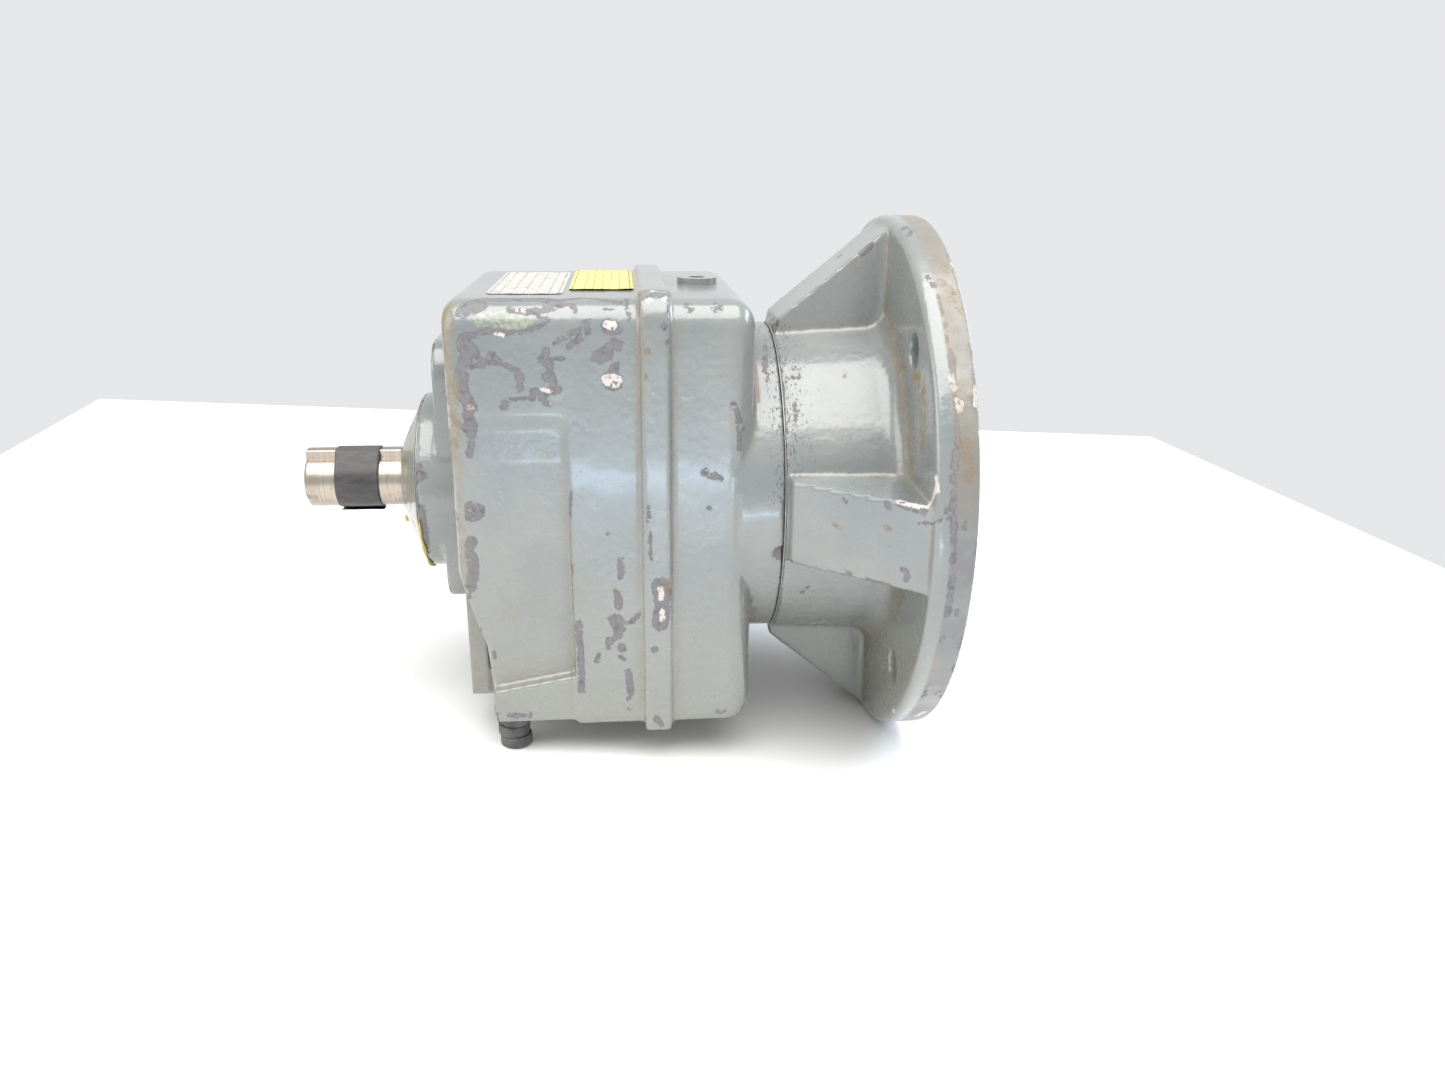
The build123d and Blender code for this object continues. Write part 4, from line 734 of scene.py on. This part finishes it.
def case_paint():
    """Gloss enamel over dark primer: chipped, scuffed, grimy and with painted shade in the creases and
    round each chip, with painted floor light low down, bare where machined.
    """
    look = Looks("case_paint", specular=0.85)
    ragged = look.scaled(look.noise(2.2, 8.0, 0.72), 4.8, -2.4)
    islands = look.spread(look.noise(3.3, 6.0, 0.68, stretch=(1.0, 0.9, 1.1)), 0.55, 0.62, 0.0, 1.1)
    fine = look.noise(1.4, 4.0)

    # the enamel: blue to grey, greener and lighter low down as painted light from the floor, stained,
    # thin on the rim, and yellowed in one patch
    paint = look.mix(look.spread(look.noise(46.0, 3.0), 0.35, 0.65), PAINT_BLUE, PAINT_GREY)
    # painted light: towards the bottom the enamel goes greener and lighter, standing for warm light
    # bounced up from the floor
    low = look.spread(look.axis_mm("Z"), -75.0, 20.0)
    paint = look.mix(look.times(look.rest_of(low), 0.8), paint, PAINT_FLOOR_BOUNCE_LIT)
    stain = look.spread(look.noise(15.0, 5.0, 0.6), 0.56, 0.78, 0.0, 0.35)
    paint = look.mix(stain, paint, GRIME)
    thin = look.times(look.field("thin"), look.spread(look.noise(5.0, 5.0, 0.65), 0.3, 0.6, 0.55, 1.0))
    paint = look.mix(thin, paint, PRIMER_PALE)
    yellow_depth = look.scaled(ragged, 1.2, look.wear("yellowed"))
    yellow = look.times(look.spread(yellow_depth, -0.6, 1.0), look.spread(fine, 0.38, 0.62))
    paint = look.mix(look.times(yellow, 0.6), paint, YELLOWED)

    # where it has gone: worn edges, specks, scuffs and chips, each chip with a dark rim, partly the
    # paint's edge and partly painted shade at the step
    edge = look.scaled(look.noise(5.0, 5.0, 0.6), 1.7, -1.46)
    edge = look.spread(look.math("ADD", edge, look.field("edge")), 0.36, 0.44)
    specks = look.spread(look.noise(3.2, 2.0, 0.5), 0.765, 0.785)
    scuffed = look.field("scuffed")
    scuffs = look.scaled(scuffed, 0.16, look.noise(0.75, 3.0, 0.6, stretch=(1.0, 0.4, 0.4)))
    scuffs = look.times(look.spread(scuffs, 0.70, 0.76), scuffed)
    chip_depth = look.math("SUBTRACT", look.scaled(ragged, 0.72, look.wear("chips")), islands)
    chips = look.most(look.spread(chip_depth, -0.06, 0.06), edge, specks, scuffs)
    # the dark rim round each chip: partly the paint's edge, partly painted shade at the step down
    rim = look.times(look.spread(chip_depth, -0.5, -0.02), look.rest_of(chips))

    # what shows there: primer, darker just inside each chip's edge partly as painted shade, or filler,
    # then rust, dust and grime over everything, and grime with painted shade in the creases
    primer = look.mix(look.spread(look.noise(3.2, 5.0, 0.7), 0.30, 0.52), PRIMER, PRIMER_PALE)
    primer = look.mix(look.spread(look.noise(0.9, 3.0), 0.56, 0.72, 0.0, 0.5), primer, PAINT_GREY)
    # dark primer just inside each chip's edge: partly painted shade at the step down
    primer = look.mix(look.spread(chip_depth, 0.05, 0.40, 0.85, 0.0), primer, PRIMER)
    colour = look.mix(chips, look.mix(look.times(rim, 0.45), paint, PRIMER), primer)
    filler_depth = look.scaled(ragged, 0.7, look.wear("filler"))
    filler = look.times(look.spread(filler_depth, -0.12, 0.16), look.spread(fine, 0.34, 0.46))
    colour = look.mix(filler, colour, FILLER)
    rust_depth = look.scaled(ragged, 0.9, look.wear("rust"))
    rust = look.spread(rust_depth, -0.3, 0.6, 0.0, 0.85)
    rust = look.times(rust, look.spread(fine, 0.34, 0.56, 0.15, 1.0))
    rusty = look.mix(look.noise(1.1, 4.0, 0.7), RUST_DARK, RUST)
    colour = look.mix(rust, colour, rusty)
    dirt_and_crease_shade = look.times(look.field("grime"), look.spread(look.noise(3.5, 6.0, 0.68), 0.36, 0.62))
    # grime and painted shade darken the creases, the groove at the joint among them
    crease_grime_and_shade = look.spread(look.noise(6.0, 4.0), 0.34, 0.62, 0.08, 0.55)
    dirt_and_crease_shade = look.most(dirt_and_crease_shade, look.times(look.field("crease"), crease_grime_and_shade))
    colour = look.mix(look.times(look.field("grime"), 0.5), colour, DUST)
    colour = look.mix(dirt_and_crease_shade, colour, GRIME)
    machined = look.field("machined")
    iron = look.mix(look.spread(look.noise(7.0, 5.0, 0.6), 0.45, 0.75, 0.1, 0.65), CAST_IRON, rusty)
    colour = look.mix(machined, colour, iron)

    # gloss, the orange peel of the enamel, and the step down into each chip
    worn = look.most(chips, filler, dirt_and_crease_shade, rust)
    gloss = look.scaled(look.field("thin"), 0.22, look.scaled(look.noise(9.0, 3.0), 0.16, 0.20))
    roughness = look.most(gloss, look.times(worn, 0.62), look.times(machined, 0.55))
    peel = look.bump(look.noise(1.0, 1.0, 0.5), 0.020, look.bump(look.noise(2.6, 1.5, 0.45), 0.19))
    normal = look.bump(look.rest_of(look.most(chips, filler)), 0.20, peel)
    normal = look.bump(look.times(look.noise(0.8, 4.0, 0.7), worn), 0.10, normal)
    look.shader.inputs["Coat Roughness"].default_value = 0.11
    sound = look.rest_of(look.most(worn, machined, thin))
    look.feed(look.shader.inputs["Coat Weight"], look.times(sound, 0.7))
    return look.finish(colour, roughness, normal)


def steel(name, base, dark, roughness, ring_width, rust_level, relief=0.012, cloudy=0.45):
    """Turned or ground steel: fine tool rings along X, with stains and rust specks."""
    look = Looks(name, metallic=1.0)
    rings = look.noise(ring_width, 2.0, 0.6, stretch=(1.0, 0.02, 0.02))
    cloud = look.noise(6.0, 4.0, 0.6)
    colour = look.mix(look.spread(rings, 0.3, 0.7), dark, base)
    colour = look.mix(look.spread(cloud, 0.42, 0.72, 0.0, cloudy), colour, dark)
    specks = look.spread(look.noise(1.3, 5.0, 0.72), 0.66 - rust_level * 0.12, 0.72 - rust_level * 0.10)
    patch = look.spread(look.noise(8.0, 4.0), 0.62 - rust_level * 0.2, 0.8 - rust_level * 0.2)
    rust = look.times(look.most(specks, patch), min(1.0, 0.35 + rust_level))
    colour = look.mix(rust, colour, look.mix(look.noise(0.8, 3.0), RUST_DARK, RUST))
    rough = look.most(look.scaled(cloud, 0.22, roughness - 0.11), look.times(rust, 0.75))
    return look.finish(colour, rough, look.bump(rust, 0.03, look.bump(rings, relief)))


def soft_finish(name, dark, pale, grain, roughness, relief, stain=None):
    """Rubber, fibre, film or phosphate: a mottled dull skin with a fine grain."""
    look = Looks(name, specular=0.4)
    mottle = look.noise(grain * 7.0, 5.0, 0.65)
    colour = look.mix(look.spread(mottle, 0.32, 0.7), dark, pale)
    if stain is not None:
        colour = look.mix(look.spread(look.noise(grain * 13.0, 4.0), 0.55, 0.72, 0.0, 0.8), colour, stain)
    dust = look.spread(look.noise(grain * 2.0, 4.0, 0.7), 0.62, 0.74, 0.0, 0.4)
    colour = look.mix(dust, colour, pale)
    rough = look.scaled(mottle, 0.2, roughness - 0.1)
    return look.finish(colour, rough, look.bump(look.noise(grain, 4.0, 0.6), relief))


def vinyl_tape():
    """Black electrical tape: satin, with stretch lines and dust."""
    look = Looks("vinyl_tape", specular=0.5)
    creases = look.noise(2.6, 3.0, 0.5, stretch=(0.35, 1.0, 1.0))
    colour = look.mix(look.spread(creases, 0.4, 0.75), (0.042, 0.04, 0.041), (0.08, 0.075, 0.075))
    dust = look.spread(look.noise(0.9, 5.0, 0.7), 0.56, 0.74, 0.0, 0.22)
    colour = look.mix(dust, colour, (0.30, 0.29, 0.27))
    return look.finish(colour, look.scaled(creases, 0.3, 0.24), look.bump(creases, 0.06))


def ruled(look, along, start, pitch, count, half_width):
    """1 on each of a few evenly spaced lines across one coordinate in millimetres."""
    shifts = [look.math("SUBTRACT", along, start + pitch * index) for index in range(count)]
    gaps = [look.math("ABSOLUTE", shift) for shift in shifts]
    return look.most(*(look.math("LESS_THAN", gap, half_width) for gap in gaps))


def border_and_rules(look, low, high, inset, border_half_w, first, pitch, rule_half_w):
    """1 on the ink of a blank label: its border and five empty rules across it, in millimetres."""
    x, y = look.axis_mm("X"), look.axis_mm("Y")
    span = high - low - 2 * inset
    rules = ruled(look, x, low[0] + first, pitch, 5, rule_half_w)
    across = ruled(look, x, low[0] + inset, span[0], 2, border_half_w)
    along = ruled(look, y, low[1] + inset, span[1], 2, border_half_w)
    return look.most(rules, across, along)


def nameplate_film(low, high):
    """A blank silver data plate: a border and empty ruled fields, rubbed and stained."""
    look = Looks("plate_silver", metallic=0.35)
    worn = look.noise(2.4, 6.0, 0.7)
    ink = border_and_rules(look, low, high, 1.4, 0.35, 4.5, 4.2, 0.22)
    ink = look.times(ink, look.spread(worn, 0.38, 0.55))
    silver = look.mix(look.noise(9.0, 4.0), (0.50, 0.49, 0.46), (0.66, 0.65, 0.62))
    silver = look.mix(look.spread(worn, 0.50, 0.66, 0.0, 0.7), silver, (0.34, 0.30, 0.25))
    colour = look.mix(look.times(ink, 0.7), silver, (0.20, 0.17, 0.17))
    return look.finish(colour, look.scaled(worn, 0.35, 0.22), look.bump(worn, 0.05))


def yellow_film(low, high):
    """A blank yellow label: faded, scratched through, with a thin dark border and empty rules."""
    look = Looks("label_yellow", specular=0.4)
    worn = look.noise(2.0, 6.0, 0.72)
    ink = border_and_rules(look, low, high, 1.3, 0.3, 5.5, 3.1, 0.16)
    ink = look.times(ink, look.spread(worn, 0.36, 0.52))
    faded = look.noise(6.0, 5.0, 0.65)
    yellow = look.tones(faded, (0.50, 0.47, 0.19), (0.60, 0.56, 0.19), (0.54, 0.52, 0.34))
    yellow = look.mix(look.spread(worn, 0.58, 0.68), yellow, (0.30, 0.24, 0.14))
    colour = look.mix(look.times(ink, 0.7), yellow, (0.09, 0.08, 0.05))
    return look.finish(colour, look.scaled(worn, 0.3, 0.35), look.bump(worn, 0.06))


def sealant():
    """Old sealant, amber to cream."""
    look = Looks("sealant", specular=0.4)
    cloud = look.noise(1.5, 4.0, 0.6)
    colour = look.tones(cloud, (0.20, 0.12, 0.03), (0.50, 0.38, 0.12), (0.68, 0.58, 0.30))
    return look.finish(colour, look.scaled(cloud, 0.3, 0.25), look.bump(cloud, 0.15))


# colour, darker colour, roughness, width of the tool rings and rust; some have a relief and a cloud
STEELS = {
    "shaft_steel": ((0.49, 0.435, 0.38), (0.37, 0.32, 0.275), 0.30, 0.30, 0.30, 0.02, 0.25),
    "gear_steel": ((0.50, 0.49, 0.47), (0.30, 0.28, 0.25), 0.26, 0.30, 0.05),
    "bearing_steel": ((0.80, 0.80, 0.81), (0.62, 0.62, 0.63), 0.14, 0.12, 0.0, 0.004),
    "cage_brass": ((0.55, 0.52, 0.45), (0.36, 0.33, 0.28), 0.34, 0.4, 0.05),
    "zinc_steel": ((0.56, 0.57, 0.55), (0.33, 0.33, 0.31), 0.42, 0.5, 0.35, 0.02),
    "copper": ((0.72, 0.42, 0.27), (0.36, 0.20, 0.12), 0.36, 0.6, 0.15),
}
# dark colour, pale colour, grain, roughness and relief; the discs have a stain
SOFT_FINISHES = {
    "spring_steel": ((0.05, 0.05, 0.055), (0.13, 0.13, 0.14), 0.5, 0.42, 0.02),
    "gasket": ((0.16, 0.14, 0.11), (0.33, 0.29, 0.22), 0.7, 0.8, 0.05),
    "seal_rubber": ((0.012, 0.012, 0.012), (0.05, 0.048, 0.045), 0.6, 0.48, 0.03),
    "dark_disc": ((0.042, 0.042, 0.046), (0.115, 0.11, 0.11), 0.8, 0.50, 0.05, (0.16, 0.14, 0.12)),
}
MATERIALS = {
    "case_paint": case_paint(),
    "vinyl_tape": vinyl_tape(),
    "sealant": sealant(),
    "plate_silver": nameplate_film(*box_in_mm("nameplate")),
    "label_yellow": yellow_film(*box_in_mm("yellow_label")),
}
MATERIALS.update({name: steel(name, *numbers) for name, numbers in STEELS.items()})
MATERIALS.update({name: soft_finish(name, *numbers) for name, numbers in SOFT_FINISHES.items()})


# ---- pieces that stand for CAD nodes
def label_piece(name, node, curl, seed):
    """A thin film on the uneven top of the case, with rounded corners and ends lifted by the curl."""
    low, high = box_in_mm(node)
    base = low[2] + 0.14
    size = high - low

    def at(u, v):
        from_middle_u, from_middle_v = abs(2 * u - 1), abs(2 * v - 1)
        # the corners are drawn in, so that the film has a small radius there
        pull = 70.0 * max(0.0, from_middle_u - 0.86) * max(0.0, from_middle_v - 0.92)
        x = low[0] + size[0] * u - math.copysign(pull, u - 0.5)
        y = low[1] + size[1] * v - math.copysign(pull, v - 0.5)
        x += 0.18 * ripple(v * 14, seed, u * 2) * from_middle_u ** 6
        y += 0.30 * ripple(u * 9, seed + 4, v * 2) * from_middle_v ** 6
        wave = 0.10 * ripple(x / 6, y / 6, seed)
        lift = curl * (max(0.0, from_middle_v - 0.8) / 0.2) ** 2
        lift *= 0.5 + 0.5 * ripple(x / 7, seed, 0)
        return (x, y, base + abs(wave) + lift), (0, 0, 1)

    link_piece(name, closed_sheet(name, 36, 80, at, LABEL_T), [node], SLOT_OF[node])


def taped_outline(angle, radius, key_half, key_top):
    """Distance from the axis to a tight wrap over a round shaft and the square key on its top."""
    corner = math.atan2(key_top, key_half)
    tangent = corner - math.acos(radius / math.hypot(key_half, key_top))
    from_side = math.asin(math.sin(angle))
    if from_side < tangent:
        return radius
    if from_side < corner:
        return radius / math.cos(from_side - tangent)
    return key_top / math.sin(from_side)


def tape_piece():
    """Two and a bit turns of tape over the shaft and key, with an overlapping loose tail."""
    low, high = box_in_mm("shaft_tape")
    key_high = box_in_mm("output_key")[1]

    def at(u, v):
        wound = v * TAPE_TURNS
        angle = TAPE_START - wound * math.tau
        radius = SHAFT_R + 0.09 + TAPE_LAYER * wound
        tail = max(0.0, (v - 0.93) / 0.07)
        skew = 0.35 * math.sin(wound * 2.1) + 0.8 * max(0.0, v - 0.62)
        outline = taped_outline(angle, radius, key_high[1] + 0.1, key_high[2] + 0.1 + TAPE_LAYER * wound)
        wrinkle = 0.08 * ripple(u * 5, angle * 2.2, 1)
        wrinkle += 0.03 * ripple(u * 14, angle * 5, 4)
        wrinkle *= 0.25 + 0.75 * max(0.0, v - 0.55) / 0.45
        distance = outline + wrinkle + 1.1 * tail ** 2
        x = low[0] + (high[0] - low[0]) * u + skew - 0.5
        if v > 0.98:
            x += 0.25 * math.sin(u * 40)
        normal = (0, math.cos(angle), math.sin(angle))
        return (x, distance * math.cos(angle), distance * math.sin(angle)), normal

    mesh = closed_sheet("tape_winding", 30, 420, at, TAPE_LAYER - TAPE_GAP)
    link_piece("tape_winding", mesh, ["shaft_tape"], "vinyl_tape", "output")


def disc_piece(name, node):
    """Three rounded discs, one under another, each a little off the middle."""
    low, high = box_in_mm(node)
    height = (high[2] - low[2]) / len(DISC_SHIFTS)
    radius = (high[0] - low[0]) / 2 - 0.35
    foot, brow = 0.7, 0.5
    points, faces = [], []
    for level, shift in enumerate(DISC_SHIFTS):
        top = height - 0.05
        profile = [(0.0, 0.03)]
        for turn in (0, 0.5, 1.05, 1.57):
            profile.append((radius - foot + foot * math.sin(turn), 0.03 + foot - foot * math.cos(turn)))
        profile += [(radius, top / 2), (radius - 0.05, top - brow)]
        for turn in (0.5, 1.05, 1.57):
            profile.append((radius - brow + 0.45 * math.cos(turn), top - brow + brow * math.sin(turn)))
        profile.append((0.0, top))
        centre = ((low[0] + high[0]) / 2 + shift, (low[1] + high[1]) / 2, low[2] + level * height)
        more_points, more_faces = lathe(profile, centre)
        faces += [tuple(len(points) + index for index in face) for face in more_faces]
        points += more_points
    link_piece(name, mesh_from(name, points, faces), [node], "dark_disc")


def sealant_bead():
    """Squeezed-out sealant along the lower near edge of the boss, thick and thin by turns."""
    centres, radii = [], []
    for index in range(BEAD_STEPS + 1):
        angle = math.radians(BEAD_START + index * BEAD_STEP)
        bulge = ripple(index * 0.16, 2.0, 5.0)
        reach = BOSS_R + 0.3 + 0.35 * bulge
        x = BOSS_FACE_X - 0.1 + 0.25 * bulge
        centres.append((x, reach * math.cos(angle), reach * math.sin(angle)))
        fade = min(1.0, index / 6, (BEAD_STEPS - index) / 6)
        radii.append(max(0.06, (0.55 + 0.45 * bulge) * fade))
    mesh = swept_tube("sealant_bead", centres, radii)
    link_piece("sealant_bead", mesh, slot="gasket", look="sealant")


def sealant_crumb():
    """A lump of old sealant caught on the nose of the output cover."""
    mesh = bpy.data.meshes.new("sealant_crumb")
    shape = bmesh.new()
    bmesh.ops.create_icosphere(shape, subdivisions=3, radius=1.0)
    centre = Vector((-195.2, -12.4, -11.6))
    for vertex in shape.verts:
        swell = 1.0 + 0.45 * noise.noise(vertex.co * 1.7 + Vector((3, 1, 4)))
        vertex.co = (centre + vertex.co * Vector((1.1, 1.3, 1.6)) * swell) * MM
    shape.to_mesh(mesh)
    shape.free()
    mesh.polygons.foreach_set("use_smooth", [True] * len(mesh.polygons))
    link_piece("sealant_crumb", mesh, slot="gasket", look="sealant")


gear_case_piece()
motor_adapter_piece()
small_casting_piece("output_cover_casting", "output_cover", 0.6, 31, 0.9, BOSS_CHIPS, BOSS_RUST)
small_casting_piece("side_cover_casting", "side_cover", 1.0, 41, 0.15, (), ())
label_piece("nameplate_film", "nameplate", 0.25, 3)
label_piece("yellow_label_film", "yellow_label", 0.9, 5)
tape_piece()
disc_piece("near_disc_stack", "near_support_discs")
disc_piece("far_disc_stack", "far_support_discs")
sealant_bead()
sealant_crumb()

# these were painted together with the castings
PAINTED_OVER = (
    "adapter_gasket", "output_cover_gasket", "side_cover_gasket", "side_cover_screws",
    "vent_plug", "drain_plug", "plug_seal_rings",
)
for node, piece in frame["nodes"].items():
    if not piece.hide_render:
        piece.data.materials.clear()
        piece.data.materials.append(MATERIALS["case_paint" if node in PAINTED_OVER else SLOT_OF[node]])


# ---- floor, light and camera
def floor_look():
    """A pale painted board with faint scuffs."""
    look = Looks("floor", specular=0.5)
    scuffs = look.noise(60.0, 6.0, 0.7)
    colour = look.mix(look.spread(scuffs, 0.6, 0.8, 0.0, 0.25), (0.86, 0.86, 0.86), (0.80, 0.795, 0.78))
    return look.finish(colour, look.scaled(scuffs, 0.25, 0.30))


# the camera: place in millimetres, yaw, pitch and roll in degrees, and lens in millimetres
CAMERA_PLACE = (-112.14, -418.33, 117.18)
CAMERA_AIM = (-5.389, 19.148, 0.615)
CAMERA_LENS = 27.05

# the pale table top, in metres, its turn against the object, and the gap under the object
TABLE = (0.94, 1.50, 0.025)
TABLE_BACK_Y = 0.53
TABLE_MIDDLE_X = -0.07
TABLE_TURN = math.radians(4.5)
TABLE_EDGE = 0.004
TABLE_GAP = 0.0003


def make_floor():
    """A pale table top just under the flange's rim and the discs below the front foot."""
    low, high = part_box("near_support_discs")
    rest_x, rest_z = (low.x + high.x) / 2, low.z
    rim_x, rim_z = RIM_LINE_X * MM, -FLANGE_R * MM
    tilt = math.atan2(rest_z - rim_z, rim_x - rest_x)
    depth, thickness = TABLE[1:]
    shape = bmesh.new()
    bmesh.ops.create_cube(shape, size=1.0)
    bmesh.ops.scale(shape, vec=TABLE, verts=shape.verts)
    bmesh.ops.translate(shape, vec=(0, -depth / 2, -thickness / 2), verts=shape.verts)
    bmesh.ops.bevel(shape, geom=shape.edges, offset=TABLE_EDGE, segments=3, affect="EDGES")
    mesh = bpy.data.meshes.new("floor")
    shape.to_mesh(mesh)
    shape.free()
    mesh.materials.append(floor_look())
    floor = linked("floor", mesh)
    surface = Matrix.Translation((rim_x, 0, rim_z - TABLE_GAP)) @ Matrix.Rotation(tilt, 4, "Y")
    place = Matrix.Translation((TABLE_MIDDLE_X - rim_x, TABLE_BACK_Y, 0))
    place = place @ Matrix.Rotation(TABLE_TURN, 4, "Z")
    floor.matrix_world = surface @ place


def area_light(name, place, target, width, height, power, colour):
    """A soft light, in metres and watts, aimed at the target."""
    data = bpy.data.lights.new(name, "AREA")
    data.shape = "RECTANGLE"
    data.size, data.size_y = width, height
    data.energy = power
    data.color = colour
    light = linked(name, data)
    light.location = place
    light.rotation_euler = (Vector(target) - Vector(place)).to_track_quat("-Z", "Y").to_euler()


def make_light():
    """A bright room with a broad ceiling light, a fill on each side and a weak strip at the near wall."""
    world = bpy.data.worlds.new("studio")
    bpy.context.scene.world = world
    world.use_nodes = True
    sky = world.node_tree.nodes["Background"]
    sky.inputs["Color"].default_value = (0.945, 0.955, 0.965, 1.0)
    sky.inputs["Strength"].default_value = 0.84
    middle = (-0.11, 0.0, 0.0)
    area_light("ceiling", (-0.02, -0.38, 1.20), middle, 1.7, 1.3, 29.0, (1.0, 0.98, 0.94))
    area_light("right_fill", (0.95, 0.30, 0.42), (0.0, 0.0, -0.05), 0.8, 0.5, 10.0, (0.74, 0.87, 1.0))
    area_light("left_fill", (-1.20, -0.30, 0.45), middle, 0.8, 0.8, 5.0, (1.0, 0.98, 0.95))
    wall_middle = (-0.09, -0.06, -0.02)
    area_light("window_bounce", (-0.09, -0.42, -0.086), wall_middle, 0.20, 0.012, 0.10, (0.55, 0.76, 1.0))


def make_camera():
    """A camera as far away and as high as a person at the table, aimed by yaw, pitch and roll."""
    data = bpy.data.cameras.new("camera")
    data.sensor_width = 36.0
    data.lens = CAMERA_LENS
    data.clip_start = 0.01
    camera = linked("camera", data)
    yaw, pitch, roll = (math.radians(value) for value in CAMERA_AIM)
    turn = Matrix.Rotation(yaw, 4, "Z") @ Matrix.Rotation(math.pi / 2 - pitch, 4, "X")
    turn = turn @ Matrix.Rotation(roll, 4, "Z")
    camera.matrix_world = Matrix.Translation(Vector(CAMERA_PLACE) * MM) @ turn
    bpy.context.scene.camera = camera


make_floor()
make_light()
make_camera()
bpy.context.scene.view_settings.view_transform = "Standard"
